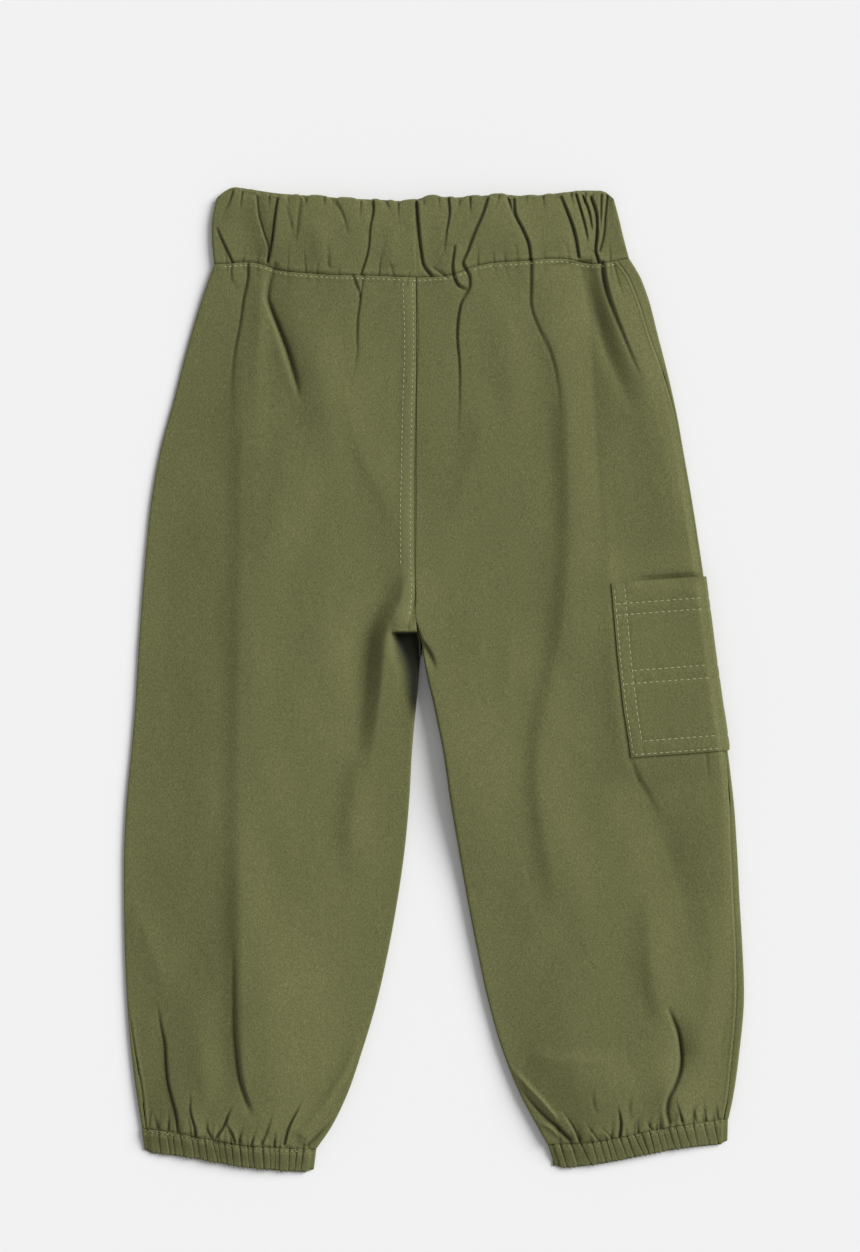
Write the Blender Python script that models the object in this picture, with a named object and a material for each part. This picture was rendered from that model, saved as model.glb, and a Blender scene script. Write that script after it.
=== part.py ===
"""Toddler's cargo pants, laid flat with the back upwards.

Sizes are millimetres, and metres in the meshes. X runs across, towards the wearer's right, Y runs up towards
the waist, and Z is the height above the surface that the pants lie on. The origin is the middle of the
garment's underside. Every piece is a wall of cloth between an outer and an inner layer of points. Both
layers come from one description of each leg's section, so neighbouring pieces meet along the same line.
"""

import math
from collections import namedtuple

import bmesh
import bpy
import numpy as np

MM = 0.001

CLOTH = 1.5
BAND_CLOTH = 2.4
HEM_CLOTH = 2.0
SEAM_GAP = 0.3

# The least height of a back panel, which keeps it clear of the front panel under it.
LEAST_TOP = 3.9

# ---------------------------------------------------------------- outline

# One row for each section across a leg: how far along the leg, where its two edges are, the radius of the
# rounded edge, the crown of the cloth above that edge, how far in from each edge the crown takes to rise,
# and how far in from the outer edge the side seam lies on top (below nought, it lies underneath).
Section = namedtuple("Section", "y inner outer edge crown rise_in rise_out seam")

LEFT_LEG = [
    Section(232, -9.5, -119.6, 3.2, 3.4, 14, 16, -1.0),
    Section(210, -9.5, -127.3, 3.0, 3.2, 14, 16, -1.0),
    Section(183, -9.5, -135.4, 2.7, 2.8, 14, 16, -1.0),
    Section(155, -9.5, -142.6, 2.5, 2.5, 14, 16, -1.0),
    Section(128, -9.6, -149.9, 2.4, 2.3, 14, 16, -1.0),
    Section(100, -9.6, -155.0, 2.4, 2.2, 14, 16, -1.0),
    Section(73, -9.8, -157.9, 2.4, 2.2, 14, 16, -1.0),
    Section(45, -10.0, -160.2, 2.4, 2.4, 15, 16, -1.0),
    Section(28, -8.8, -161.4, 2.4, 2.6, 16, 16, -1.0),
    Section(23, -7.5, -161.8, 2.4, 2.6, 18, 16, -1.0),
    Section(7, -7.8, -162.7, 2.4, 2.6, 20, 16, -1.0),
    Section(-10, -9.1, -163.7, 2.4, 2.5, 20, 16, -1.0),
    Section(-22, -10.4, -164.6, 2.4, 2.4, 19, 16, -1.0),
    Section(-37, -11.7, -165.9, 2.4, 2.3, 18, 16, -1.0),
    Section(-65, -13.3, -168.6, 2.4, 2.2, 16, 16, -1.0),
    Section(-92, -15.8, -170.0, 2.4, 2.2, 14, 16, -1.0),
    Section(-120, -19.8, -170.1, 2.4, 2.4, 14, 14, -1.0),
    Section(-147, -24.7, -169.6, 2.5, 2.8, 14, 14, -0.5),
    Section(-175, -31.0, -168.4, 2.6, 3.4, 13, 12, 0.5),
    Section(-202, -39.0, -166.2, 2.8, 4.0, 12, 11, 2.0),
    Section(-230, -48.9, -162.6, 3.0, 4.2, 10, 9, 3.2),
    Section(-245, -56.5, -160.2, 3.0, 2.6, 8, 7, 2.4),
    Section(-257, -64.8, -158.6, 3.0, 1.6, 7, 6, 2.0),
]

RIGHT_LEG = [
    Section(234, -9.2, 106.6, 3.2, 3.4, 14, 14, 7.2),
    Section(223, -9.2, 113.3, 3.2, 3.3, 14, 14, 6.8),
    Section(212, -9.2, 117.6, 3.0, 3.2, 14, 14, 6.2),
    Section(192, -9.2, 122.9, 2.8, 2.9, 14, 14, 3.6),
    Section(166, -9.2, 129.5, 2.6, 2.6, 14, 14, 2.0),
    Section(147, -9.2, 133.7, 2.5, 2.5, 14, 14, 1.2),
    Section(128, -9.3, 137.1, 2.4, 2.3, 14, 14, 0.9),
    Section(100, -9.3, 142.0, 2.4, 2.2, 14, 14, 0.8),
    Section(73, -9.5, 146.2, 2.4, 2.2, 14, 14, 0.8),
    Section(45, -9.7, 150.0, 2.4, 2.4, 15, 14, 0.8),
    Section(28, -8.5, 152.2, 2.4, 2.6, 15, 14, 0.8),
    Section(20, -6.1, 153.2, 2.4, 2.6, 15, 14, 0.8),
    Section(12, -5.2, 154.3, 2.4, 2.5, 15, 14, 0.8),
    Section(3, -3.6, 155.6, 2.4, 2.4, 14, 14, 0.8),
    Section(-10, -0.5, 157.4, 2.4, 2.3, 14, 14, 0.8),
    Section(-22, 2.0, 159.3, 2.4, 2.3, 14, 14, 0.8),
    Section(-37, 5.0, 161.4, 2.4, 2.2, 14, 14, 0.8),
    Section(-65, 9.1, 164.9, 2.4, 2.2, 14, 14, 2.2),
    Section(-92, 13.7, 166.8, 2.4, 2.2, 14, 14, 3.1),
    Section(-120, 18.7, 168.2, 2.4, 2.4, 14, 14, 3.2),
    Section(-147, 23.9, 169.8, 2.5, 2.8, 13, 13, 3.6),
    Section(-175, 30.0, 170.6, 2.6, 3.4, 12, 12, 4.2),
    Section(-202, 37.8, 168.2, 2.8, 4.0, 11, 11, 4.0),
    Section(-230, 49.4, 164.2, 3.0, 4.2, 9, 9, 3.4),
    Section(-241, 55.4, 161.9, 3.0, 2.8, 7, 7, 3.0),
    Section(-257, 64.2, 160.6, 3.0, 1.6, 6, 6, 2.6),
]

WAIST_ROW = 228.0
HEM_ROW = -250.0

# Above the crotch the legs meet at the centre seams, and below it each has a rounded inner edge. The cloth
# rolls from one to the other over this length.
CROTCH = 28.0
CROTCH_ROLL = 7.0

# How far from the waist and the hems the rows take to come level.
WAIST_SPREAD = 55.0
HEM_SPREAD = 60.0

# The seams at the ends of the legs: how far up the seam lies at each place across.
SeamPoint = namedtuple("SeamPoint", "x y")

WAIST_SEAM = [
    SeamPoint(-120, 229.5),
    SeamPoint(-98, 230.0),
    SeamPoint(-84, 226.0),
    SeamPoint(-60, 223.5),
    SeamPoint(-30, 222.5),
    SeamPoint(-4, 221.8),
    SeamPoint(10, 223.2),
    SeamPoint(24, 228.0),
    SeamPoint(50, 230.8),
    SeamPoint(72, 232.0),
    SeamPoint(88, 229.5),
    SeamPoint(107, 232.5),
]

HEM_SEAM_LEFT = [
    SeamPoint(-161, -245.3),
    SeamPoint(-141, -247.2),
    SeamPoint(-123, -250.3),
    SeamPoint(-105, -253.4),
    SeamPoint(-86, -255.3),
    SeamPoint(-65, -256.3),
]

HEM_SEAM_RIGHT = [
    SeamPoint(62, -253.6),
    SeamPoint(80, -252.5),
    SeamPoint(99, -249.7),
    SeamPoint(117, -245.9),
    SeamPoint(136, -242.6),
    SeamPoint(162, -239.8),
]

BAND_TOP = [
    SeamPoint(-119, 266.0),
    SeamPoint(-110, 269.6),
    SeamPoint(-90, 267.6),
    SeamPoint(-73, 265.6),
    SeamPoint(-46, 264.0),
    SeamPoint(-10, 263.6),
    SeamPoint(9, 265.4),
    SeamPoint(37, 266.6),
    SeamPoint(64, 266.8),
    SeamPoint(84, 269.4),
    SeamPoint(99, 266.0),
]

# How far the waistband's two ends move across, from the seam (share nought) to the folded top edge.
BandEdge = namedtuple("BandEdge", "share left right")

BAND_EDGES = [
    BandEdge(0.0, 0.0, 0.0),
    BandEdge(0.25, -1.1, -2.4),
    BandEdge(0.6, -1.1, -5.2),
    BandEdge(1.0, 1.5, -8.6),
]

# How high the waistband's cloth puffs up between its seam and its top edge.
BandProfile = namedtuple("BandProfile", "share crown")

BAND_PROFILE = [
    BandProfile(0.0, 3.2),
    BandProfile(0.3, 4.2),
    BandProfile(0.7, 4.0),
    BandProfile(1.0, 2.4),
]
CENTRE_BACK = -9.35
BAND_RADIUS = 3.2
BAND_RISE = 14.0
BAND_PLAINNESS = 0.5

# The loops that make the waistband's wall: how far up, and from the outside (nought) to the inside (one).
BAND_LOOPS = [
    (0.0, 0.0),
    (0.13, 0.0),
    (0.3, 0.0),
    (0.5, 0.0),
    (0.7, 0.0),
    (0.86, 0.0),
    (0.96, 0.03),
    (1.0, 0.4),
    (0.96, 0.97),
    (0.5, 1.0),
    (0.0, 1.0),
]

# ---------------------------------------------------------------- folds

# How far from an edge the folds take to reach their full height.
FOLD_FADE = 7.0

# One row for each fold: its line, from the end where it starts, its half width, and how high it stands at
# the start and at the end of the line (below nought, it is a trough).
Fold = namedtuple("Fold", "line width start end")

BAND_FOLDS = [
    Fold([(-119, 250), (-115, 243), (-110, 231)], 3.5, -1.2, -2.2),
    Fold([(-97, 264), (-95, 251), (-91, 232)], 3.5, -2.2, -2.6),
    Fold([(-86, 265), (-88, 252), (-91, 232)], 3.2, -2.6, -2.6),
    Fold([(-71, 264), (-73, 248), (-76, 239)], 4.0, -1.8, -0.8),
    Fold([(-51, 263), (-48, 253), (-45, 240)], 4.0, -1.8, -1.0),
    Fold([(-33, 263), (-34, 249), (-39, 225)], 3.8, -2.4, -2.2),
    Fold([(-10, 262), (-7, 246), (-5, 230), (-2, 222)], 3.4, -2.8, -2.8),
    Fold([(9, 264), (8, 254), (5, 239)], 3.4, -2.4, -1.4),
    Fold([(12, 240), (11, 224)], 3.2, -1.2, -2.2),
    Fold([(29, 265), (23, 250), (17, 231)], 3.4, -2.8, -2.8),
    Fold([(44, 265), (48, 250), (53, 238), (53, 230)], 3.4, -2.8, -2.8),
    Fold([(70, 265), (76, 255), (82, 231)], 3.4, -2.6, -2.8),
    Fold([(79, 267), (84, 253), (84, 239)], 3.0, -2.4, -1.6),
    Fold([(87, 267), (89, 250), (90, 237)], 3.0, -2.0, -1.6),
    Fold([(94, 265), (95, 256), (91, 235)], 3.0, -2.6, -2.6),
]

SEAT_FOLDS = [
    Fold([(-101, 229), (-103, 216), (-106, 196), (-110, 174)], 5.0, -2.8, -1.2),
    Fold([(-110, 174), (-109, 133), (-108, 45), (-109, -43), (-110, -120), (-109, -165)], 9.0, -1.0, -0.9),
    Fold([(-96, 229), (-97, 210), (-95, 180)], 5.0, 1.4, 0.0),
    Fold([(-91, 230), (-90, 215), (-82, 191), (-75, 170), (-72, 152)], 6.0, -3.0, -0.5),
    Fold([(-45, 223), (-41, 210), (-42, 191), (-43, 158)], 5.0, -1.8, -0.3),
    Fold([(10, 223), (13, 217), (20, 216)], 3.5, -1.8, -1.2),
    Fold([(20, 226), (18, 212), (13, 198), (15, 166), (13, 139)], 4.5, -2.2, -0.4),
    Fold([(53, 231), (53, 216), (56, 204), (61, 180)], 4.5, -2.4, -1.0),
    Fold([(61, 180), (68, 128), (70, 67), (65, -10), (61, -76), (60, -115)], 9.0, -1.0, -0.9),
    Fold([(81, 230), (85, 205), (88, 166), (93, 100), (98, 23), (106, -40), (114, -75)], 6.0, 1.8, 0.4),
    Fold([(85, 228), (92, 207), (99, 183), (105, 160)], 4.5, -2.8, -0.4),
    Fold([(94, 229), (99, 215), (107, 196), (115, 172), (122, 146)], 4.5, -2.6, -0.5),
    Fold([(117, 139), (121, 100), (127, 66)], 8.0, -0.8, -1.5),
    Fold([(-19, 50), (-27, 30), (-33, 1), (-36, -29), (-35, -50)], 7.0, -1.0, -0.2),
    Fold([(-21, 27), (-24, 11), (-27, -15), (-26, -43)], 5.0, 1.4, 0.2),
    Fold([(119, -46), (126, -65), (141, -109), (149, -153)], 10.0, -0.6, -1.2),
]

HEM_FOLDS = [
    Fold([(-153, -178), (-147, -202), (-144, -227), (-140, -244)], 4.5, -0.4, -2.6),
    Fold([(-133, -220), (-132, -237), (-130, -248)], 3.5, -0.2, -2.0),
    Fold([(-109, -165), (-108, -208), (-104, -227), (-98, -240)], 6.0, -1.0, -2.2),
    Fold([(-123, -230), (-121, -249)], 3.2, -0.2, -1.8),
    Fold([(-111, -234), (-113, -251)], 3.2, -0.4, -2.0),
    Fold([(-72, -227), (-79, -242), (-82, -254)], 4.0, -0.4, -2.2),
    Fold([(-87, -229), (-91, -253)], 3.5, -0.4, -1.6),
    Fold([(-39, -195), (-54, -224), (-72, -250)], 5.0, 0.4, 1.0),
    Fold([(116, -136), (118, -169), (127, -198)], 6.0, 0.2, 1.2),
    Fold([(130, -175), (137, -197), (136, -212), (129, -230), (127, -243)], 4.5, -0.8, -3.0),
    Fold([(88, -218), (90, -250)], 3.5, -0.3, -1.8),
    Fold([(100, -232), (103, -248)], 3.2, -0.6, -2.2),
    Fold([(108, -223), (112, -246)], 3.4, -0.3, -1.8),
    Fold([(133, -229), (138, -242)], 3.4, -0.4, -1.8),
    Fold([(149, -230), (147, -240)], 3.4, -0.3, -1.6),
    Fold([(70, -232), (77, -251)], 3.6, -0.4, -1.8),
    Fold([(37, -203), (50, -219), (65, -235), (75, -249)], 4.5, 0.6, 1.2),
]

# One row for each pleat of the elastic hems: where its valley starts at the seam and ends at the opening.
Valley = namedtuple("Valley", "seam opening")

HEM_VALLEYS_LEFT = [
    Valley(-157.0, -156.0),
    Valley(-150.5, -150.0),
    Valley(-146.0, -145.0),
    Valley(-140.0, -139.0),
    Valley(-134.0, -133.0),
    Valley(-126.5, -125.5),
    Valley(-119.0, -118.0),
    Valley(-113.5, -112.0),
    Valley(-106.5, -105.0),
    Valley(-102.0, -100.0),
    Valley(-95.0, -93.5),
    Valley(-90.0, -88.5),
    Valley(-84.0, -83.5),
    Valley(-78.5, -79.0),
    Valley(-72.0, -74.0),
]

HEM_VALLEYS_RIGHT = [
    Valley(68.5, 73.0),
    Valley(73.5, 79.0),
    Valley(80.5, 85.0),
    Valley(88.0, 91.5),
    Valley(93.0, 97.0),
    Valley(97.0, 101.0),
    Valley(102.5, 107.0),
    Valley(107.5, 112.0),
    Valley(112.5, 117.0),
    Valley(118.5, 122.0),
    Valley(122.5, 127.0),
    Valley(127.5, 133.0),
    Valley(137.0, 142.0),
    Valley(142.5, 147.5),
    Valley(151.0, 155.0),
]
PLEAT_HEIGHT = 1.6

HEM_RADIUS = 3.0
HEM_CROWN = 0.8
HEM_RISE = 10.0
HEM_DEPTH = 14.0
HEM_CORNER = 1.4
HEM_CORNER_REACH = 5.0

# The loops that make a hem's wall: how far down, and from the outside (nought) to the inside (one).
HEM_LOOPS = [(0.0, 0.0), (0.3, 0.0), (0.65, 0.0), (0.92, 0.0), (1.0, 0.45), (0.92, 1.0), (0.0, 1.0)]

# ---------------------------------------------------------------- cargo pocket

POCKET_TOP_ROW = 56.3
POCKET_BOTTOM_ROW = -40.0
POCKET_LIFT = CLOTH + SEAM_GAP
POCKET_RAMP = 11.0

# The pocket slants: rows of the right leg tilt about this place, out from where the tilt begins, and level
# out again beyond the pocket's two ends.
POCKET_TILT = 0.075
TILT_CENTRE = 125.0
TILT_START = 60.0
TILT_RISE = 40.0
TILT_FADE = 70.0

# How far in from the outer edge the line lies that the pocket's edges follow, along each leg.
PocketLine = namedtuple("PocketLine", "y reach")

POCKET_LINE = [
    PocketLine(-257, 32),
    PocketLine(-160, 44),
    PocketLine(POCKET_BOTTOM_ROW, 54.5),
    PocketLine(POCKET_TOP_ROW, 52.3),
    PocketLine(140, 47),
    PocketLine(232, 40),
]

# ---------------------------------------------------------------- how finely the walls are divided

# Stretches of rows along a leg, from the waist to the hem: where each ends and how many rows it takes.
RowZone = namedtuple("RowZone", "end rows")

ROW_ZONES = [
    RowZone(198.0, 4),
    RowZone(POCKET_TOP_ROW, 9),
    RowZone(CROTCH + CROTCH_ROLL, 2),
    RowZone(CROTCH, 3),
    RowZone(CROTCH - 13.0, 2),
    RowZone(POCKET_BOTTOM_ROW, 4),
    RowZone(-180.0, 8),
    RowZone(HEM_ROW, 7),
]

# Columns of the panels: their shares of the way from the side seam to the pocket line, how many cross the
# middle of a back panel, how far the last ones are from the inner edge, and how many take a front panel
# round the outer edge.
EDGE_SHARES = (0.027, 0.055, 0.09, 0.18, 0.31, 0.47, 0.65, 0.83, 1.0)
MIDDLE_COLUMNS = 12
INNER_EDGE_STEPS = (4.8, 3.0, 1.5, 0.0)
WRAP_COLUMNS = 6

# Columns of the hems, for each pleat and for each quarter of the round sides.
PLEAT_COLUMNS = 4
ARC_COLUMNS = 4

# sRGB as it looks, roughness
CLOTH_COLOUR = ((104, 106, 69), 0.92)
BAND_COLOUR = ((99, 101, 65), 0.92)
HEM_COLOUR = ((97, 99, 64), 0.92)
POCKET_COLOUR = ((108, 110, 72), 0.92)


def ease(share):
    """Nought to one, level at both ends."""
    share = np.clip(share, 0.0, 1.0)
    return share * share * (3.0 - 2.0 * share)


def along(rows, column, at):
    """The smooth curve through one column of a table, read at places in its first column."""
    rows = sorted(rows)
    places = np.array([row[0] for row in rows], float)
    values = np.array([getattr(row, column) for row in rows], float)
    slopes = np.gradient(values, places)
    at = np.clip(at, places[0], places[-1])
    low = np.clip(np.searchsorted(places, at) - 1, 0, len(places) - 2)
    span = places[low + 1] - places[low]
    share = (at - places[low]) / span
    rest = 1.0 - share
    return (
        values[low] * rest * rest * (1.0 + 2.0 * share)
        + values[low + 1] * share * share * (1.0 + 2.0 * rest)
        + slopes[low] * span * share * rest * rest
        - slopes[low + 1] * span * share * share * rest
    )


def fold_height(folds, x, y):
    """What the folds add to the height at each place."""
    height = np.zeros(np.broadcast(x, y).shape)
    for fold in folds:
        line = np.array(fold.line, float)
        steps = np.hypot(*np.diff(line, axis=0).T)
        lengths = np.concatenate([[0.0], np.cumsum(steps)])
        nearest = np.full(height.shape, np.inf)
        share = np.zeros(height.shape)
        for start, end, run, length in zip(line, line[1:], lengths, steps):
            step = (end - start) / length
            place = np.clip((x - start[0]) * step[0] + (y - start[1]) * step[1], 0.0, length)
            gap = np.hypot(x - start[0] - place * step[0], y - start[1] - place * step[1])
            closer = gap < nearest
            nearest = np.where(closer, gap, nearest)
            share = np.where(closer, (run + place) / lengths[-1], share)
        stand = fold.start + (fold.end - fold.start) * share
        height = height + stand * np.exp(-((nearest / fold.width) ** 2))
    return height


class Leg:
    """One leg and its half of the seat, as a section that changes along it."""

    def __init__(self, sections, hem_seam, outwards, has_pocket):
        self.sections = sections
        self.hem_seam = hem_seam
        self.outwards = outwards
        self.has_pocket = has_pocket

    def value(self, column, y):
        return along(self.sections, column, y)

    def height_along(self, row, x):
        """Where a row lies at x: rows follow the waist seam, the pocket's slant and the hem seam."""
        waist = (along(WAIST_SEAM, "y", x) - WAIST_ROW) * ease(1.0 - (WAIST_ROW - row) / WAIST_SPREAD)
        hem = (along(self.hem_seam, "y", x) - HEM_ROW) * ease(1.0 - (row - HEM_ROW) / HEM_SPREAD)
        shift = waist + hem
        if self.has_pocket:
            middle = (POCKET_TOP_ROW + POCKET_BOTTOM_ROW) / 2.0
            half = (POCKET_TOP_ROW - POCKET_BOTTOM_ROW) / 2.0
            near = ease(1.0 - (np.abs(row - middle) - half) / TILT_FADE)
            shift = shift + POCKET_TILT * near * (x - TILT_CENTRE) * ease((x - TILT_START) / TILT_RISE)
        return row + shift

    def edges(self, row):
        """The x of both ends of a row."""
        outer = self.value("outer", self.height_along(row, self.value("outer", row)))
        inner = self.value("inner", self.height_along(row, self.value("inner", row)))
        return inner, outer

    def lift(self, row, distance):
        """How far the hidden half of the pocket lifts the leg off the surface."""
        if not self.has_pocket:
            return np.zeros(np.broadcast(row, distance).shape)
        above = 1.0 - (row - POCKET_TOP_ROW) / POCKET_RAMP
        below = 1.0 - (POCKET_BOTTOM_ROW - row) / POCKET_RAMP
        inside = 1.0 - (distance - along(POCKET_LINE, "reach", row)) / POCKET_RAMP
        return POCKET_LIFT * ease(above) * ease(below) * ease(inside)

    def crown(self, row, distance, width, x, y, closed):
        """How far the top stands above its rounded edges."""
        from_inner = width - distance
        rise = ease(distance / self.value("rise_out", row))
        inner_rise = 1.0 - closed * (1.0 - ease(from_inner / self.value("rise_in", row)))
        fade = ease(distance / FOLD_FADE) * (1.0 - closed * (1.0 - ease(from_inner / FOLD_FADE)))
        height = self.value("crown", row) * rise * inner_rise
        height = height + fold_height(BAND_FOLDS + SEAT_FOLDS + HEM_FOLDS, x, y) * fade
        return np.maximum(height, LEAST_TOP - 2.0 * self.value("edge", row))

    def point(self, row, reach, depth=0.0):
        """A place on the wall: reach runs along the section from the outer edge, up over the top or, below
        nought, down and along the underside. Depth is measured into the cloth."""
        inner, outer = self.edges(row)
        width = np.abs(outer - inner)
        radius = self.value("edge", row)
        closed = ease((CROTCH + CROTCH_ROLL - row) / CROTCH_ROLL)
        quarter = radius * math.pi / 2.0
        turn = closed * math.pi / 2.0
        straight = width - radius - radius * np.sin(turn)
        run = np.abs(reach)
        first = np.clip(run / radius, 0.0, math.pi / 2.0)
        last = np.clip((run - quarter - straight) / radius, 0.0, turn)
        flat = np.clip(run - quarter, 0.0, straight)
        round_radius = radius - depth
        distance = radius - round_radius * np.cos(first) + flat + round_radius * np.sin(last)
        middle = radius * (1.0 - np.cos(first)) + flat + radius * np.sin(last)
        up = np.sin(first) * np.cos(last)
        x = outer - self.outwards * distance
        surface_x = outer - self.outwards * middle
        y = self.height_along(row, surface_x)
        crown = self.crown(row, middle, width, surface_x, y, closed) * up * (reach > 0.0)
        z = self.lift(row, middle) + radius + np.sign(reach) * round_radius * up + crown
        return np.stack(np.broadcast_arrays(x, y, z), axis=-1)

    def reach_of_seam(self, row):
        """The side seam's place along the section."""
        inset = self.value("seam", row)
        radius = self.value("edge", row)
        on_round = radius * np.arccos(np.clip(1.0 - inset / radius, -1.0, 1.0))
        on_top = radius * math.pi / 2.0 + inset - radius
        return np.where(inset < 0.0, inset, np.where(inset < radius, on_round, on_top))

    def whole_reach(self, row):
        """The length of the section from the outer edge to the inseam or the centre seam."""
        inner, outer = self.edges(row)
        radius = self.value("edge", row)
        turn = ease((CROTCH + CROTCH_ROLL - row) / CROTCH_ROLL) * math.pi / 2.0
        return np.abs(outer - inner) + radius * (math.pi / 2.0 - 1.0 + turn - np.sin(turn))

    def back_reaches(self, row):
        """Columns of a back panel, from the side seam over the top."""
        start = self.reach_of_seam(row) + SEAM_GAP / 2.0
        line = along(POCKET_LINE, "reach", row)
        end = self.whole_reach(row) - SEAM_GAP / 2.0
        near = [start + (line - start) * share for share in (0.0,) + EDGE_SHARES]
        shares = np.arange(1, MIDDLE_COLUMNS) / MIDDLE_COLUMNS
        middle = [line + (end - INNER_EDGE_STEPS[0] - line) * share for share in shares]
        return near + middle + [end - step for step in INNER_EDGE_STEPS]

    def front_reaches(self, row):
        """Columns of a front panel, from the side seam round the edge and along the underside."""
        start = self.reach_of_seam(row) - SEAM_GAP / 2.0
        bottom = -self.value("edge", row) * math.pi / 2.0
        line = -along(POCKET_LINE, "reach", row)
        end = SEAM_GAP / 2.0 - self.whole_reach(row)
        wrap = [start + (bottom - start) * share / WRAP_COLUMNS for share in range(WRAP_COLUMNS + 1)]
        under = [line, line - POCKET_RAMP, (line - POCKET_RAMP + end) / 2.0]
        return wrap + under + [end + step for step in INNER_EDGE_STEPS]


LEFT = Leg(LEFT_LEG, HEM_SEAM_LEFT, outwards=-1.0, has_pocket=False)
RIGHT = Leg(RIGHT_LEG, HEM_SEAM_RIGHT, outwards=1.0, has_pocket=True)


# The elastic hems: the leg that each ends, and its two sides at the seam and at the opening.
Hem = namedtuple("Hem", "leg left right opening_left opening_right valleys")

HEM_LEFT = Hem(LEFT, -160.2, -64.3, -158.9, -65.8, HEM_VALLEYS_LEFT)
HEM_RIGHT = Hem(RIGHT, 62.6, 161.8, 66.8, 161.6, HEM_VALLEYS_RIGHT)


def leg_rows():
    rows = [WAIST_ROW - SEAM_GAP / 2.0]
    for zone in ROW_ZONES:
        rows += list(np.linspace(rows[-1], zone.end, zone.rows + 1)[1:])
    rows[-1] += SEAM_GAP / 2.0
    return np.array(rows)


# ---------------------------------------------------------------- solids


def finish(name, shape, colour):
    """The object and its material, with the faces turned outwards."""
    bmesh.ops.recalc_face_normals(shape, faces=shape.faces[:])
    mesh = bpy.data.meshes.new(name)
    shape.to_mesh(mesh)
    shape.free()
    mesh.shade_smooth()
    mesh.set_sharp_from_angle(angle=math.radians(50.0))
    (red, green, blue), roughness = colour
    material = bpy.data.materials.new(name)
    material.use_nodes = True
    shader = material.node_tree.nodes["Principled BSDF"]
    linear = [(value / 255.0) ** 2.2 for value in (red, green, blue)]
    shader.inputs["Base Color"].default_value = (*linear, 1.0)
    shader.inputs["Roughness"].default_value = roughness
    shader.inputs["Metallic"].default_value = 0.0
    mesh.materials.append(material)
    piece = bpy.data.objects.new(name, mesh)
    bpy.context.scene.collection.objects.link(piece)
    return piece


def join_loops(shape, first, second):
    """Faces between two closed loops of vertices."""
    for place in range(len(first)):
        after = (place + 1) % len(first)
        shape.faces.new((first[place], first[after], second[after], second[place]))


def panel(name, outer, inner, colour):
    """A wall between two grids of points, closed along its four edges."""
    shape = bmesh.new()
    loops = []
    for over, under in zip(outer, inner):
        points = np.concatenate([over, under[::-1]]) * MM
        loops.append([shape.verts.new(point) for point in points])
    for first, second in zip(loops, loops[1:]):
        join_loops(shape, first, second)
    for loop in (loops[0], loops[-1]):
        for place in range(len(loop) // 2 - 1):
            shape.faces.new((loop[place], loop[place + 1], loop[-2 - place], loop[-1 - place]))
    return finish(name, shape, colour)


def ring(name, rings, colour):
    """A wall round an opening: loops of points up the outside and back down the inside."""
    shape = bmesh.new()
    loops = [[shape.verts.new(point) for point in loop * MM] for loop in rings]
    for first, second in zip(loops, loops[1:] + loops[:1]):
        join_loops(shape, first, second)
    return finish(name, shape, colour)


def leg_panels(leg, side):
    rows = leg_rows()[:, None]
    back = np.stack(np.broadcast_arrays(*leg.back_reaches(rows)), axis=-1)[:, 0]
    front = np.stack(np.broadcast_arrays(*leg.front_reaches(rows)), axis=-1)[:, 0]
    panel(f"back_{side}", leg.point(rows, back), leg.point(rows, back, CLOTH), CLOTH_COLOUR)
    panel(f"front_{side}", leg.point(rows, front), leg.point(rows, front, CLOTH), CLOTH_COLOUR)


def cargo_pocket():
    """The patch on the right leg, made from the panels' own points and moved out from them."""
    rows = leg_rows()[:, None]
    rows = rows[(rows[:, 0] <= POCKET_TOP_ROW + SEAM_GAP) & (rows[:, 0] >= POCKET_BOTTOM_ROW - SEAM_GAP)]
    back = RIGHT.back_reaches(rows)[: len(EDGE_SHARES) + 1]
    front = RIGHT.front_reaches(rows)[1 : WRAP_COLUMNS + 2]
    reaches = np.stack(np.broadcast_arrays(*(back[::-1] + front)), axis=-1)[:, 0]
    outer = RIGHT.point(rows, reaches, -POCKET_LIFT)
    panel("cargo_pocket", outer, RIGHT.point(rows, reaches, -SEAM_GAP), POCKET_COLOUR)


def band_places():
    """The places round the waistband, which match the columns of the four panels that it is sewn to."""
    row = np.array([[WAIST_ROW]])
    tops = [np.concatenate(leg.back_reaches(row), axis=-1)[0] for leg in (LEFT, RIGHT)]
    unders = [np.concatenate(leg.front_reaches(row), axis=-1)[0] for leg in (LEFT, RIGHT)]
    return [(LEFT, tops[0]), (RIGHT, tops[1][-2::-1]), (RIGHT, unders[1][1:]), (LEFT, unders[0][-2:0:-1])]


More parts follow.
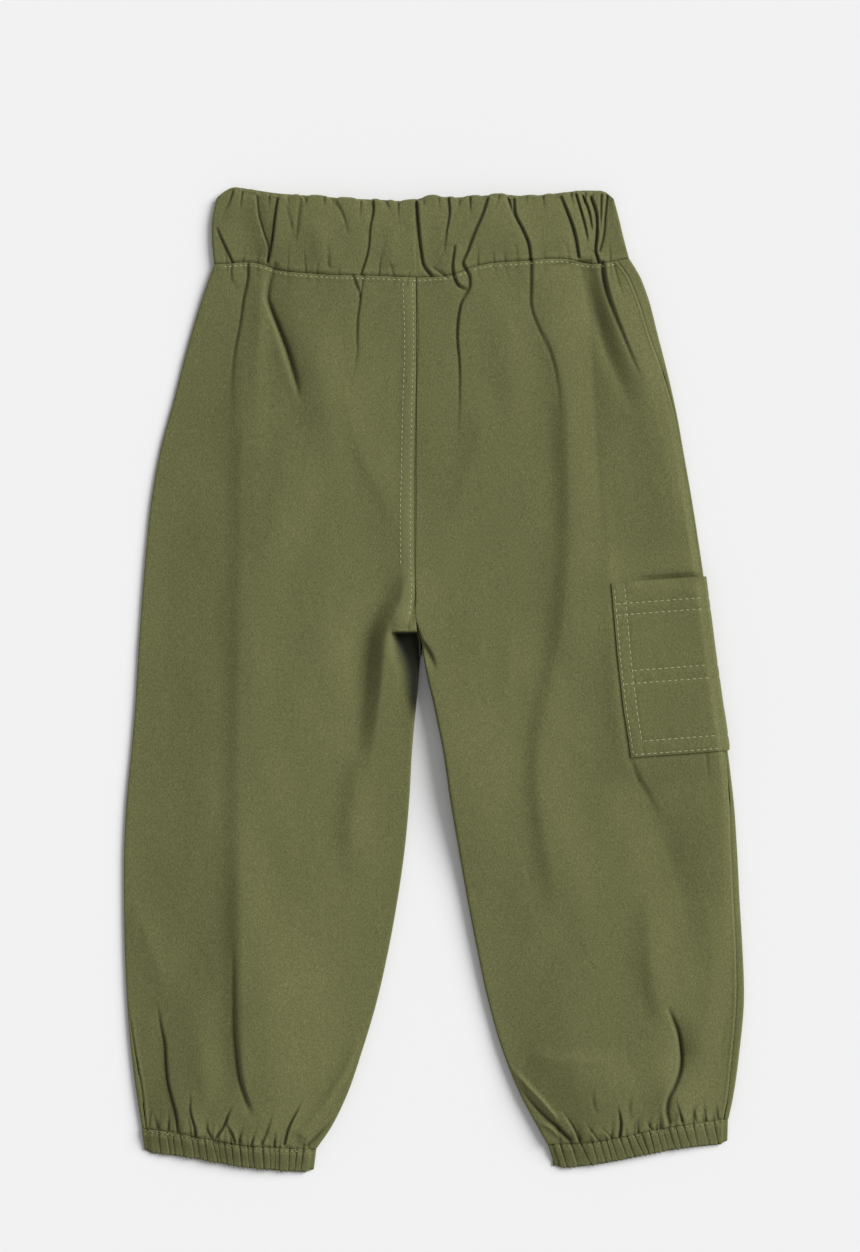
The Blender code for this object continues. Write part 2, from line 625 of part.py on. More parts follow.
def band_point(leg, reach, share, layer):
    """A place on the waistband: share runs from the seam to the folded top edge, and layer from the outside
    of the wall to its inside."""
    row = np.full(reach.shape, WAIST_ROW + SEAM_GAP / 2.0)
    start = leg.edges(row)[1]
    outer = start + along(BAND_EDGES, "right" if leg is RIGHT else "left", share)
    stretch = np.abs(outer - CENTRE_BACK) / np.abs(start - CENTRE_BACK)
    turn = np.clip(np.abs(reach) / BAND_RADIUS, 0.0, math.pi / 2.0)
    flat = np.maximum(np.abs(reach) - BAND_RADIUS * math.pi / 2.0, 0.0)
    distance = BAND_RADIUS * (1.0 - np.cos(turn)) + flat
    round_radius = BAND_RADIUS - layer * BAND_CLOTH
    x = outer - leg.outwards * stretch * (BAND_RADIUS - round_radius * np.cos(turn) + flat)
    surface_x = outer - leg.outwards * stretch * distance
    seam = leg.height_along(row, start - leg.outwards * distance)
    y = seam + (along(BAND_TOP, "y", surface_x) - seam) * share
    relief = along(BAND_PROFILE, "crown", share) * ease(distance / BAND_RISE)
    relief = relief + fold_height(BAND_FOLDS + SEAT_FOLDS, surface_x, y) * ease(distance / FOLD_FADE)
    relief = relief * np.sin(turn) * (reach > 0.0) * (1.0 - BAND_PLAINNESS * layer)
    z = BAND_RADIUS + np.sign(reach) * round_radius * np.sin(turn) + relief
    return np.stack([x, y, z], axis=-1)


def waistband():
    """The gathered casing, whose lower edge follows the top edges of the four panels."""
    loops = []
    for share, layer in BAND_LOOPS:
        loops.append(np.concatenate([band_point(leg, reach, share, layer) for leg, reach in band_places()]))
    ring("waistband", loops, BAND_COLOUR)


def hem_places(hem):
    """Places round an elastic hem as columns: x at the seam and at the opening, height up the round edge,
    inwards turn, and how far the pleat stands there."""
    places = []
    turns = np.linspace(-math.pi / 2.0, math.pi / 2.0, 2 * ARC_COLUMNS + 1)
    for turn in turns[:-1]:
        inset = HEM_RADIUS * (1.0 - math.cos(turn))
        places.append((hem.left + inset, hem.opening_left + inset, math.sin(turn), math.cos(turn), 0.0))
    lines = [Valley(hem.left + HEM_RADIUS, hem.opening_left + HEM_RADIUS)] + hem.valleys
    lines.append(Valley(hem.right - HEM_RADIUS, hem.opening_right - HEM_RADIUS))
    for first, second in zip(lines, lines[1:]):
        for share in np.arange(PLEAT_COLUMNS) / PLEAT_COLUMNS:
            at_seam = first.seam + (second.seam - first.seam) * share
            at_opening = first.opening + (second.opening - first.opening) * share
            places.append((at_seam, at_opening, 1.0, 0.0, 4.0 * share * (1.0 - share)))
    for turn in turns[::-1]:
        inset = HEM_RADIUS * (1.0 - math.cos(turn))
        places.append((hem.right - inset, hem.opening_right - inset, math.sin(turn), -math.cos(turn), 0.0))
    reaches = hem.leg.front_reaches(np.array([[HEM_ROW]]))[WRAP_COLUMNS + 1 : -len(INNER_EDGE_STEPS) + 1]
    under = np.concatenate([hem.leg.point(HEM_ROW, reach)[..., 0] for reach in reaches]).ravel()
    for at_seam in sorted(under, reverse=True):
        places.append((at_seam, at_seam, -1.0, 0.0, 0.0))
    return np.array(places)


def hem_loop(hem, share, layer):
    """One loop of an elastic hem: share runs from the seam to the opening, layer from outside to inside."""
    at_seam, at_opening, up, sideways, pleat = hem_places(hem).T
    x = at_seam + (at_opening - at_seam) * share
    left = hem.left + (hem.opening_left - hem.left) * share
    right = hem.right + (hem.opening_right - hem.right) * share
    from_edge = np.minimum(x - left, right - x)
    depth = HEM_DEPTH - HEM_CORNER * (1.0 - ease(from_edge / HEM_CORNER_REACH))
    y = along(hem.leg.hem_seam, "y", x) - SEAM_GAP / 2.0 - share * depth
    relief = (HEM_CROWN * ease(from_edge / HEM_RISE) + PLEAT_HEIGHT * pleat) * np.maximum(up, 0.0)
    relief = relief * (1.0 - layer)
    z = HEM_RADIUS + (HEM_RADIUS - layer * HEM_CLOTH) * up + relief
    return np.stack([x + layer * HEM_CLOTH * sideways, y, z], axis=-1)


def elastic_hem(hem, side):
    ring(f"hem_{side}", [hem_loop(hem, share, layer) for share, layer in HEM_LOOPS], HEM_COLOUR)


def build():
    for old in list(bpy.data.objects):
        bpy.data.objects.remove(old)
    leg_panels(LEFT, "left")
    leg_panels(RIGHT, "right")
    cargo_pocket()
    waistband()
    elastic_hem(HEM_LEFT, "left")
    elastic_hem(HEM_RIGHT, "right")


build()
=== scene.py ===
"""The finish of a toddler's cargo pants: olive cotton cloth with its folds, gathers and stitching.

Sizes are millimetres until they reach a mesh. X runs across the pants, Y up towards the waist, and Z up
from the surface that they lie on. Each shell follows the section of the cloth solid that it replaces.
"""

import math
from collections import namedtuple

import bmesh
import bpy
import numpy as np
from mathutils import Matrix, Vector
from mathutils.bvhtree import BVHTree


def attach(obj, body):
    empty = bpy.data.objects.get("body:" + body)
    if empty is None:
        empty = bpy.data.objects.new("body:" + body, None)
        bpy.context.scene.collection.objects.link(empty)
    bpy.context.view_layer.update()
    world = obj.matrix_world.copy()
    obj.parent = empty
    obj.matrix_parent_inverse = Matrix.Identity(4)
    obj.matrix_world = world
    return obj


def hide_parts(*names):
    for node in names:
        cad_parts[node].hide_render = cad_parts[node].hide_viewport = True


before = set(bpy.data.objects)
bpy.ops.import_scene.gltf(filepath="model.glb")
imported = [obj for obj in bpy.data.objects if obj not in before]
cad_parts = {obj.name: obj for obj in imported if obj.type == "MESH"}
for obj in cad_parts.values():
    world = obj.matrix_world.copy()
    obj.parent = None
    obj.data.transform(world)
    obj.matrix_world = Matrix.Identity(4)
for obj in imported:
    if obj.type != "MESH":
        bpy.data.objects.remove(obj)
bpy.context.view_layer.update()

MM = 0.001


def table(kind, *rows):
    """Rows with named columns."""
    return [kind(*row) for row in rows]


# ================================================================ sizes of the garment

CLOTH = 0.7
SEAM_GAP = 0.12
CENTRE_GAP = 0.03
CENTRE_FRONT_CLOSE = 0.14
LEAST_TOP = 1.6

# One row for each section across a leg: its place along the leg, its two edges, the radius of the rounded
# edge, the crown above that edge, how far in from each edge the crown takes to rise, and how far in from
# the outer edge the side seam lies on top (below nought, it lies underneath).
Section = namedtuple("Section", "y inner outer edge crown rise_in rise_out seam")

LEFT_LEG = table(
    Section,
    (232, -9.5, -119.6, 3.2, 3.4, 14, 16, -1.0),
    (210, -9.5, -127.3, 3.0, 3.2, 14, 16, -1.0),
    (183, -9.5, -135.4, 2.7, 2.8, 14, 16, -1.0),
    (155, -9.5, -142.6, 2.5, 2.5, 14, 16, -1.0),
    (128, -9.6, -149.9, 2.4, 2.3, 14, 16, -1.0),
    (100, -9.6, -155.0, 2.4, 2.2, 14, 16, -1.0),
    (73, -9.8, -157.9, 2.4, 2.2, 14, 16, -1.0),
    (45, -10.0, -160.2, 2.4, 2.4, 15, 16, -1.0),
    (28, -8.8, -161.4, 2.4, 2.6, 16, 16, -1.0),
    (23, -7.5, -161.8, 2.4, 2.6, 18, 16, -1.0),
    (7, -7.8, -162.7, 2.4, 2.6, 20, 16, -1.0),
    (-10, -9.1, -163.7, 2.4, 2.5, 20, 16, -1.0),
    (-22, -10.4, -164.6, 2.4, 2.4, 19, 16, -1.0),
    (-37, -11.7, -165.9, 2.4, 2.3, 18, 16, -1.0),
    (-65, -13.3, -168.6, 2.4, 2.2, 16, 16, -1.0),
    (-92, -15.8, -170.0, 2.4, 2.2, 14, 16, -1.0),
    (-120, -19.8, -170.1, 2.4, 2.4, 14, 14, -1.0),
    (-147, -24.7, -169.6, 2.5, 2.8, 14, 14, -0.5),
    (-175, -31.0, -168.4, 2.6, 3.4, 13, 12, 0.5),
    (-202, -39.0, -166.2, 2.8, 4.0, 12, 11, 2.0),
    (-230, -48.9, -162.6, 3.0, 4.2, 10, 9, 3.2),
    (-245, -56.5, -160.2, 3.0, 2.6, 8, 7, 2.4),
    (-257, -64.8, -158.6, 3.0, 1.6, 7, 6, 2.0),
)

RIGHT_LEG = table(
    Section,
    (234, -9.2, 106.6, 3.2, 3.4, 14, 14, 7.2),
    (223, -9.2, 113.3, 3.2, 3.3, 14, 14, 6.8),
    (212, -9.2, 117.6, 3.0, 3.2, 14, 14, 6.2),
    (192, -9.2, 122.9, 2.8, 2.9, 14, 14, 5.0),
    (166, -9.2, 129.5, 2.6, 2.6, 14, 14, 2.2),
    (147, -9.2, 133.7, 2.5, 2.5, 14, 14, 1.2),
    (128, -9.3, 137.1, 2.4, 2.3, 14, 14, 0.9),
    (100, -9.3, 142.0, 2.4, 2.2, 14, 14, 0.8),
    (73, -9.5, 146.2, 2.4, 2.2, 14, 14, 0.8),
    (45, -9.7, 150.0, 2.4, 2.4, 15, 14, 0.8),
    (28, -8.5, 152.2, 2.4, 2.6, 15, 14, 0.8),
    (20, -6.1, 153.2, 2.4, 2.6, 15, 14, 0.8),
    (12, -5.2, 154.3, 2.4, 2.5, 15, 14, 0.8),
    (3, -3.6, 155.6, 2.4, 2.4, 14, 14, 0.8),
    (-10, -0.5, 157.4, 2.4, 2.3, 14, 14, 0.8),
    (-22, 2.0, 159.3, 2.4, 2.3, 14, 14, 0.8),
    (-37, 5.0, 161.4, 2.4, 2.2, 14, 14, 0.8),
    (-65, 9.1, 164.9, 2.4, 2.2, 14, 14, 2.2),
    (-92, 13.7, 166.8, 2.4, 2.2, 14, 14, 3.1),
    (-120, 18.7, 168.2, 2.4, 2.4, 14, 14, 3.2),
    (-147, 23.9, 169.8, 2.5, 2.8, 13, 13, 3.6),
    (-175, 30.0, 170.6, 2.6, 3.4, 12, 12, 4.2),
    (-202, 37.8, 168.2, 2.8, 4.0, 11, 11, 4.0),
    (-230, 49.4, 164.2, 3.0, 4.2, 9, 9, 3.4),
    (-241, 55.4, 161.9, 3.0, 2.8, 7, 7, 3.0),
    (-257, 64.2, 160.6, 3.0, 1.6, 6, 6, 2.6),
)

WAIST_ROW = 228.0
HEM_ROW = -250.0
CROTCH = 28.0
CROTCH_ROLL = 7.0
WAIST_SPREAD = 55.0
HEM_SPREAD = 60.0
FOLD_FADE = 6.0
CROWN_RISE = 4.6
# Half the thickness of the pressed edges, as shares of the radius in their section.
EDGE_SHARE = 0.44
EDGE_SHARE_AT_WAIST = 0.56
EDGE_SHARE_RIGHT = 0.7
EDGE_SHARE_INNER = 0.8
INNER_STAND = 3.2
CENTRE_BACK = -9.35

# Rows between which the left edge thickens towards the waist, the right leg's inner edge stands up under
# the crotch and settles down again, and the front panels close at the centre.
EDGE_THICKENS = (190.0, WAIST_ROW)
INNER_RISES = (34.0, 22.0)
INNER_SETTLES = (-120.0, -30.0)
FRONT_CLOSES = (34.0, 40.0)
INNER_PRESSED_OVER = 120.0

# The seams at the ends of the legs and the waistband's folded top edge: how far up each lies.
Place = namedtuple("Place", "x y")

WAIST_SEAM = table(
    Place,
    (-120, 229.5), (-98, 230.0), (-84, 226.0), (-60, 223.5), (-30, 222.5), (-4, 221.8), (10, 223.2),
    (24, 228.0), (50, 230.8), (72, 232.0), (88, 229.5), (107, 232.5),
)

HEM_SEAM_LEFT = table(
    Place,
    (-161, -245.3), (-141, -247.2), (-123, -250.3), (-105, -253.4), (-86, -255.3), (-65, -256.3),
)

HEM_SEAM_RIGHT = table(
    Place,
    (62, -253.6), (80, -252.5), (99, -249.7), (117, -245.9), (136, -242.6), (162, -239.8),
)

BAND_TOP = table(
    Place,
    (-119, 266.5), (-112, 271.0), (-98, 270.4), (-87, 268.8), (-74, 267.8), (-62, 267.0), (-50, 266.0),
    (-31, 265.2), (-12, 264.8), (-1, 267.2), (9, 266.4), (22, 267.0), (38, 268.0), (50, 267.2),
    (62, 268.0), (72, 269.2), (86, 270.2), (94, 269.2), (99, 266.0),
)

BandEdge = namedtuple("BandEdge", "share left right crown")

BAND = table(
    BandEdge,
    (0.0, 0.0, 0.0, 3.2),
    (0.3, -1.1, -2.7, 4.2),
    (0.65, -1.1, -5.5, 4.0),
    (1.0, 1.5, -8.6, 2.4),
)
BAND_RADIUS = 3.2
BAND_HALF = 1.8
BAND_RISE = 66.0
BAND_CLOTH = 1.6
BAND_PLAINNESS = 0.5

# ================================================================ folds

# One row for each fold, walking down it from the waist: the points of its line, how high it stands at
# each, and how far it spreads to the left and to the right. Above nought it is a ridge, and its crest is as
# sharp as its fifth value says. Below nought it is a crease: the cloth comes down to it slowly on its wider
# side, and stands up beside it, by the sixth value's share, on its narrower side.
Fold = namedtuple("Fold", "line heights left right sharp shoulder", defaults=(0.4, 0.36))

BAND_FOLDS = table(
    Fold,
    ([(-110, 270), (-112, 264), (-116, 257)], [-1.6, -1.2, 0], 4.0, 1.4),
    ([(-119.5, 250), (-116, 242.6), (-110, 230)], [-1.0, -1.8, -2.0], 5.0, 1.2),
    ([(-97, 267), (-95.6, 255), (-93, 246), (-90.2, 237), (-91, 230)], [-1.6, -1.8, -2.0, -2.2, -1.6],
     1.3, 3.0),
    ([(-85.4, 267), (-87, 254), (-88.4, 242), (-91, 230)], [-2.2, -3.0, -3.2, -2.2], 2.6, 1.2, 0.7),
    ([(-73, 266), (-74.8, 250), (-76.4, 240)], [-1.0, -0.9, -0.2], 5.0, 2.6, 0.2),
    ([(-81, 262), (-78, 250), (-77, 242)], [-0.5, -0.7, 0], 3.0, 2.0, 0.2),
    ([(-54, 264), (-49.5, 255), (-47, 245)], [-1.2, -0.9, -0.2], 4.0, 2.0),
    ([(-58, 240), (-57.6, 227)], [-0.2, -1.0], 4.0, 2.4, 0.2),
    ([(-66, 252), (-62, 236), (-64, 225)], [0.5, 0.7, 0.3], 5.0, 5.0, 0.0),
    ([(-33.2, 264), (-32.8, 260), (-34.6, 249), (-35.6, 237), (-39.7, 223)], [-2.4, -2.2, -1.6, -1.6,
     -2.0], 3.6, 1.2),
    ([(-22, 250), (-24, 238), (-23, 228)], [0.3, 0.6, 0.4], 5.0, 4.0, 0.0),
    ([(-9.4, 264), (-8.5, 252), (-6.7, 235), (-5.3, 228), (-0.8, 222)], [-3.2, -3.3, -2.8, -2.4, -2.0],
     2.0, 1.5, 0.7),
    ([(-5.6, 264), (-5.2, 260)], [-1.6, 0], 1.6, 1.6),
    ([(8.2, 266), (8.8, 258), (7, 246), (5.6, 235)], [-2.2, -1.9, -1.2, -0.3], 3.6, 1.2),
    ([(-0.8, 227), (4.7, 223.4), (8.3, 220.6)], [-1.2, -1.6, -0.6], 1.4, 2.0),
    ([(44, 266), (45, 255.5), (48.7, 248), (52, 240), (53.3, 231)], [-1.8, -2.4, -2.6, -2.8, -2.6], 2.2,
     1.4, 0.6),
    ([(41, 266), (42.6, 260), (45, 254.6)], [-2.4, -1.6, -0.6], 1.6, 1.6),
    ([(69.6, 267), (72.6, 260), (77.2, 247), (79.9, 232.6)], [-1.6, -2.6, -3.2, -2.8], 3.8, 1.3),
    ([(78.1, 268), (80.8, 259), (83.6, 248), (84.5, 241)], [-2.2, -2.6, -1.9, -0.4], 1.8, 1.1),
    ([(81.9, 268), (85.4, 258), (87, 248)], [-2.6, -2.4, -0.8], 1.4, 1.1),
    ([(86.3, 267), (89.4, 257), (89.6, 244.5), (89, 237), (91, 229.8)], [-2.8, -3.0, -3.3, -3.3, -3.0],
     1.8, 1.4, 0.5),
    ([(92, 268), (91.8, 256), (91.6, 248)], [-1.8, -1.4, -0.2], 1.2, 1.2),
    ([(95.4, 268), (94.2, 255.5), (93.2, 244.5), (91, 236)], [-2.6, -2.9, -2.9, -2.8], 1.4, 3.0, 0.5),
)

SEAT_FOLDS = table(
    Fold,
    ([(-102, 230), (-101.8, 223), (-104, 212), (-106.4, 196), (-109.4, 180), (-110.6, 160),
     (-109.6, 140)], [-1.6, -1.8, -1.6, -1.3, -0.9, -0.4, 0], 3.4, 1.8),
    ([(-101, 214), (-103, 190), (-104.6, 160), (-104.6, 133), (-104.6, 90), (-104.8, 54), (-105, 34),
     (-105.8, 4), (-106.2, -34), (-106, -70), (-105.6, -100), (-105.4, -130), (-104.8, -155),
     (-104, -176), (-103.6, -196), (-102.6, -214), (-101, -232)], [0, 1.0, 1.6, 1.7, 1.7, 1.7, 1.7, 1.8,
     1.8, 1.9, 2.3, 2.8, 3.4, 3.8, 3.8, 3.0, 0], 6.6, 27.0, 0.1),
    ([(-111, 229), (-110.8, 220.6), (-106.7, 214.7)], [-1.0, -0.8, -0.2], 2.4, 1.4),
    ([(-94, 229), (-95, 210), (-96, 186), (-97, 150), (-97, 110)], [0.8, 1.6, 1.2, 0.6, 0], 7.0, 5.0,
     0.2),
    ([(-86.6, 230), (-90, 218), (-90.8, 210), (-89, 204.6), (-84.8, 194), (-80.2, 181.5), (-75.6, 166),
     (-72.6, 155)], [-1.0, -2.0, -2.6, -3.8, -4.8, -4.8, -3.4, 0], 2.6, 4.8, 0.4, 0.16),
    ([(-74, 204), (-63, 172), (-59, 150), (-58, 120), (-57, 84)], [0, 2.6, 3.0, 1.6, 0], 16.0, 14.0, 0.0),
    ([(-80, 150), (-82, 120), (-83, 80), (-82, 40)], [0, 0.9, 0.9, 0], 14.0, 18.0, 0.2),
    ([(-44.4, 223), (-40.2, 210.5), (-41.4, 202), (-42, 190), (-42, 180), (-44.5, 168), (-46, 150)],
     [-1.2, -1.4, -1.2, -1.0, -0.7, -0.4, 0], 5.0, 1.5),
    ([(-38.3, 223), (-40.1, 211)], [-1.0, -0.8], 1.3, 1.3),
    ([(-50, 172), (-46, 148), (-38, 122), (-29, 104), (-20, 80)], [0, 0.7, 0.9, 0.8, 0], 5.0, 14.0, 0.4),
    ([(11.6, 239), (10.9, 224), (13.9, 217), (18.5, 214.6)], [-1.4, -2.6, -2.4, -1.2], 3.0, 1.4),
    ([(29.8, 266), (26.7, 256), (22.1, 245), (18.4, 235), (16.1, 229.6), (19.6, 222.5), (19.8, 217),
     (15.2, 208), (13.4, 198.6), (12.9, 189), (14, 175), (14, 158), (13, 132)], [-2.6, -2.6, -2.5, -2.4,
     -2.4, -2.0, -2.0, -2.0, -2.0, -1.8, -1.4, -0.8, 0], 5.0, 1.5),
    ([(30, 160), (26, 136), (19, 112), (10, 90)], [0, 1.4, 1.6, 0], 9.0, 18.0, 0.3),
    ([(53.3, 232), (53.3, 217), (53.3, 206), (57.4, 194), (63.4, 182), (67.4, 166), (69, 146)], [-1.9,
     -1.6, -1.2, -1.0, -1.0, -0.7, 0], 4.0, 2.0, 0.3),
    ([(60, 204), (69, 180), (73.6, 152), (74.4, 120), (75, 90), (74, 60), (71.4, 34), (66, 2),
     (60.6, -22), (57.4, -48), (60.6, -77), (64.6, -104), (69, -132)], [0, 1.4, 2.4, 2.8, 2.8, 2.6, 2.5,
     2.4, 2.4, 2.4, 2.3, 1.7, 0], 6.5, 20.0, 0.1),
    ([(44, 40), (42, 4), (43, -40)], [0, 0.9, 0], 6.0, 12.0, 0.2),
    ([(42, 218), (40, 190), (41, 150), (38, 100)], [0, 0.6, 0.8, 0], 10.0, 8.0, 0.0),
    ([(80.4, 231), (81.4, 224), (83.4, 214), (85.2, 203), (86.5, 186), (87.5, 168), (88.4, 146),
     (90.6, 110), (93, 60)], [-2.4, -2.8, -3.0, -3.0, -2.6, -2.2, -2.0, -1.8, 0], 13.0, 8.0, 0.4, 0.0),
    ([(104, 218), (112, 180), (120, 145), (128, 110), (137, 70), (144, 30)], [0, 2.2, 3.2, 2.9, 1.6, 0],
     20.0, 11.0, 0.0),
    ([(92, 232), (96, 218), (100, 206), (104, 194), (108, 182), (114, 166), (121, 150)], [0.8, 2.0, 2.6,
     2.6, 2.3, 1.6, 0], 8.5, 11.0, 0.2),
    ([(92.4, 231), (93.4, 222), (95.6, 212), (99, 202), (103, 192), (109, 177), (115.6, 162)], [-2.4,
     -4.0, -2.8, -1.7, -1.3, -0.9, 0], 2.8, 2.2),
    ([(84.6, 230), (87.6, 213), (91.6, 196), (96, 180), (102.6, 164), (110, 146)], [-0.6, -2.0, -2.3,
     -1.9, -1.1, 0], 4.0, 5.0, 0.1, 0.0),
    ([(98.5, 230), (101.6, 219), (104.6, 209)], [-1.6, -1.0, 0], 1.4, 3.6),
    ([(91, 150), (93, 115), (94.6, 90), (96, 62), (97.4, 30), (100, -8), (103, -32), (107, -50)], [0, 0.3,
     0.5, 0.7, 0.8, 0.8, 0.6, 0], 5.0, 4.0, 0.2),
    ([(107, 55), (117, 56.2), (129, 57.2), (141, 57.8), (149, 58)], [0, -2.2, -3.4, -2.4, -0.8], 4.5, 1.6,
     0.2, 0.0),
    ([(107, -40), (112, -52), (118, -62), (127, -80)], [-0.4, -1.1, -0.9, 0], 6.0, 2.0),
    ([(149.6, -38), (149.8, -46), (151, -54)], [-0.8, -0.6, 0], 2.2, 1.4),
    ([(138, 120), (146, 80), (152, 40), (156, -4), (156, -50), (157, -90), (158, -130), (158, -176)], [0,
     0.8, 1.8, 2.4, 2.8, 3.0, 2.8, 0], 24.0, 9.0, 0.0),
    ([(108, -44), (116, -64), (126, -88), (134, -112), (140, -138), (142, -160)], [0, -1.8, -2.3, -2.2,
     -1.6, 0], 20.0, 12.0, 0.2, 0.0),
)

CROTCH_FOLDS = table(
    Fold,
    ([(-13.5, 62), (-16.4, 50), (-20.6, 39), (-24.6, 30), (-26.4, 22), (-27.2, 13), (-28.2, 2),
     (-29.4, -10), (-31.4, -24), (-34.6, -42), (-39, -60)], [0, 2.2, 3.4, 4.0, 4.2, 4.2, 4.0, 3.4, 2.6,
     1.6, 0], 6.4, 15.0, 0.35),
    ([(-20, 62), (-26, 48), (-32, 36), (-35.6, 24), (-37, 10), (-38.4, -6), (-41, -24), (-45, -42)], [0,
     -1.8, -2.8, -3.4, -3.4, -2.8, -1.8, 0], 14.0, 6.0, 0.0, 0.0),
    ([(-38, -36), (-42, -58), (-45, -82), (-44, -108)], [0, 2.6, 2.6, 0], 8.0, 9.0, 0.1),
    ([(-56, 70), (-58, 30), (-60, -10), (-62, -50)], [0, 1.0, 1.1, 0], 18.0, 20.0, 0.1),
    ([(-4, 34), (-2, 0), (5, -37), (10, -65), (15, -92), (21, -125), (36, -185)], [0, 2.0, 2.6, 2.5, 2.2,
     1.6, 0], 12.0, 38.0, 0.0),
    ([(-9.9, 52), (-10.8, 44), (-12.5, 36), (-14.2, 28.4)], [0, -0.7, -0.9, -0.9], 1.0, 0.8, 0.4, 0.0),
    ([(-9.2, 28.6), (-7.2, 23.4), (-2.8, 17), (-0.4, 12), (0, 6)], [-1.6, -2.2, -2.2, -1.6, 0], 5.0, 1.1,
     0.2, 0.0),
)

HEM_FOLDS = table(
    Fold,
    ([(-110.5, -140), (-109.6, -166), (-109.2, -190), (-108, -203), (-106.4, -216), (-102.6, -229),
     (-99.4, -238)], [0, -1.4, -2.6, -3.0, -2.9, -2.2, 0], 4.6, 3.0),
    ([(-110, -231), (-112.6, -237), (-114.8, -243), (-120, -250.6)], [0, -1.4, -2.2, -2.0], 2.2, 1.3),
    ([(-104, -70), (-102, -130), (-101, -180), (-101, -230)], [0, 1.2, 1.6, 0], 17.0, 34.0, 0.0),
    ([(-165, -118), (-160, -134), (-152, -154), (-146, -178)], [0, 1.2, 1.4, 0], 10.0, 14.0, 0.5),
    ([(-129, -170), (-127, -208), (-124, -238)], [0, 1.4, 0], 10.0, 8.0, 0.1),
    ([(-92, -120), (-91, -180), (-92, -230)], [0, 1.0, 0], 12.0, 14.0, 0.0),
    ([(-152, -176), (-149.5, -190), (-147.6, -198), (-147, -206), (-145.6, -220), (-143, -230),
     (-140.8, -239), (-140.3, -247)], [0, -1.4, -2.6, -3.0, -3.2, -3.2, -3.0, -2.4], 6.0, 1.7),
    ([(-133.4, -224), (-133, -236), (-131, -243), (-130.2, -249)], [0, -1.6, -2.2, -2.0], 2.6, 1.2),
    ([(-154, -236), (-151.2, -245)], [0, -1.4], 2.0, 1.2),
    ([(-145.6, -234), (-145, -246)], [0, -1.6], 1.6, 1.0),
    ([(-124.3, -238), (-123.4, -246), (-121.4, -250)], [0, -1.6, -1.8], 1.8, 1.0),
    ([(-113.8, -242), (-110.6, -247), (-108.8, -252)], [-0.4, -1.8, -2.0], 1.8, 1.2),
    ([(-104, -240), (-106.4, -252)], [0, -1.5], 1.6, 1.1),
    ([(-88, -234), (-91, -245), (-94, -253)], [0, -1.2, -1.8], 3.2, 1.4),
    ([(-71, -227), (-76, -237), (-79, -243), (-82, -254)], [0, -1.6, -2.2, -2.2], 3.0, 1.2),
    ([(-86.5, -244), (-87.5, -255)], [0, -1.6], 1.6, 1.1),
    ([(-40, -196), (-45, -208), (-51, -218), (-59, -231), (-67, -241), (-73, -249)], [0.6, 1.2, 1.4, 1.5,
     1.4, 1.0], 3.4, 2.6, 0.1),
    ([(-46, -226), (-54, -238), (-63, -248), (-70, -255)], [0, -1.0, -2.2, -2.6], 2.0, 4.0, 0.2),
    ([(-97, -243), (-100, -254)], [0, -1.5], 1.6, 1.1),
    ([(116, -108), (118, -132), (119, -155), (122, -172), (127, -190)], [0, 1.4, 2.0, 2.0, 0], 6.0, 12.0,
     0.2),
    ([(150, -118), (152, -145), (151, -172), (147, -204)], [0, 2.2, 2.6, 0], 26.0, 9.0, 0.1),
    ([(128.4, -178), (131.4, -185), (133.8, -191), (135.4, -199), (136, -206), (135.2, -213.4),
     (132.3, -221), (128.6, -228.8), (128, -236.5), (129.4, -242)], [-0.4, -2.4, -3.8, -4.8, -5.0, -4.8,
     -4.2, -3.6, -2.8, -2.2], 2.4, 6.0, 0.6, 0.15),
    ([(133, -184), (137, -205), (132, -226)], [0, -2.0, 0], 7.0, 7.0, 0.0, 0.0),
    ([(132.4, -228), (136.6, -241)], [0, -2.2], 2.0, 1.1),
    ([(52, -204), (62, -207), (77, -208.4), (94, -208.6), (106, -205)], [0, 1.4, 1.7, 1.5, 0], 22.0, 4.6,
     0.0),
    ([(87, -222), (87.5, -230), (89.5, -238)], [0, -0.9, 0], 2.8, 1.6),
    ([(83, -241), (90, -251)], [0, -2.0], 1.2, 2.2),
    ([(90, -243), (96, -248), (99, -252)], [0, -1.4, -1.8], 1.1, 2.0),
    ([(100.6, -232), (102.6, -240), (102.2, -250)], [0, -2.2, -2.4], 1.8, 1.1),
    ([(108.6, -222), (107.2, -233), (108.4, -241)], [0, -0.9, 0], 2.6, 1.5),
    ([(111.4, -236), (112.4, -248)], [0, -1.6], 1.6, 1.0),
    ([(115.2, -238), (120, -246)], [0, -1.6], 1.2, 1.6),
    ([(123.2, -234), (124.4, -245)], [0, -1.7], 1.4, 1.1),
    ([(147.6, -227), (149.4, -241)], [0, -1.5], 2.0, 1.2),
    ([(141.6, -230), (144, -241)], [0, -1.4], 1.6, 1.1),
    ([(155, -231), (156, -240)], [-0.3, -1.4], 1.8, 1.2),
    ([(70.4, -235), (77, -244.6), (80, -252)], [0, -2.0, -2.2], 1.2, 2.4),
    ([(39, -209), (50, -219.6), (60, -230), (67.4, -238.6)], [1.0, 1.5, 1.7, 1.6], 2.6, 1.2, 0.3),
    ([(44, -220), (53, -230), (61, -238), (68, -244), (75, -251)], [-0.8, -1.6, -2.4, -3.2, -3.4], 3.6,
     2.2, 0.2),
    ([(56, -241.4), (63, -244), (70, -250)], [0.9, 1.2, 0.8], 1.4, 1.6, 0.2),
)

# One row for each pleat of the elastic hems: where its valley starts at the seam and ends at the opening.
Valley = namedtuple("Valley", "seam opening")

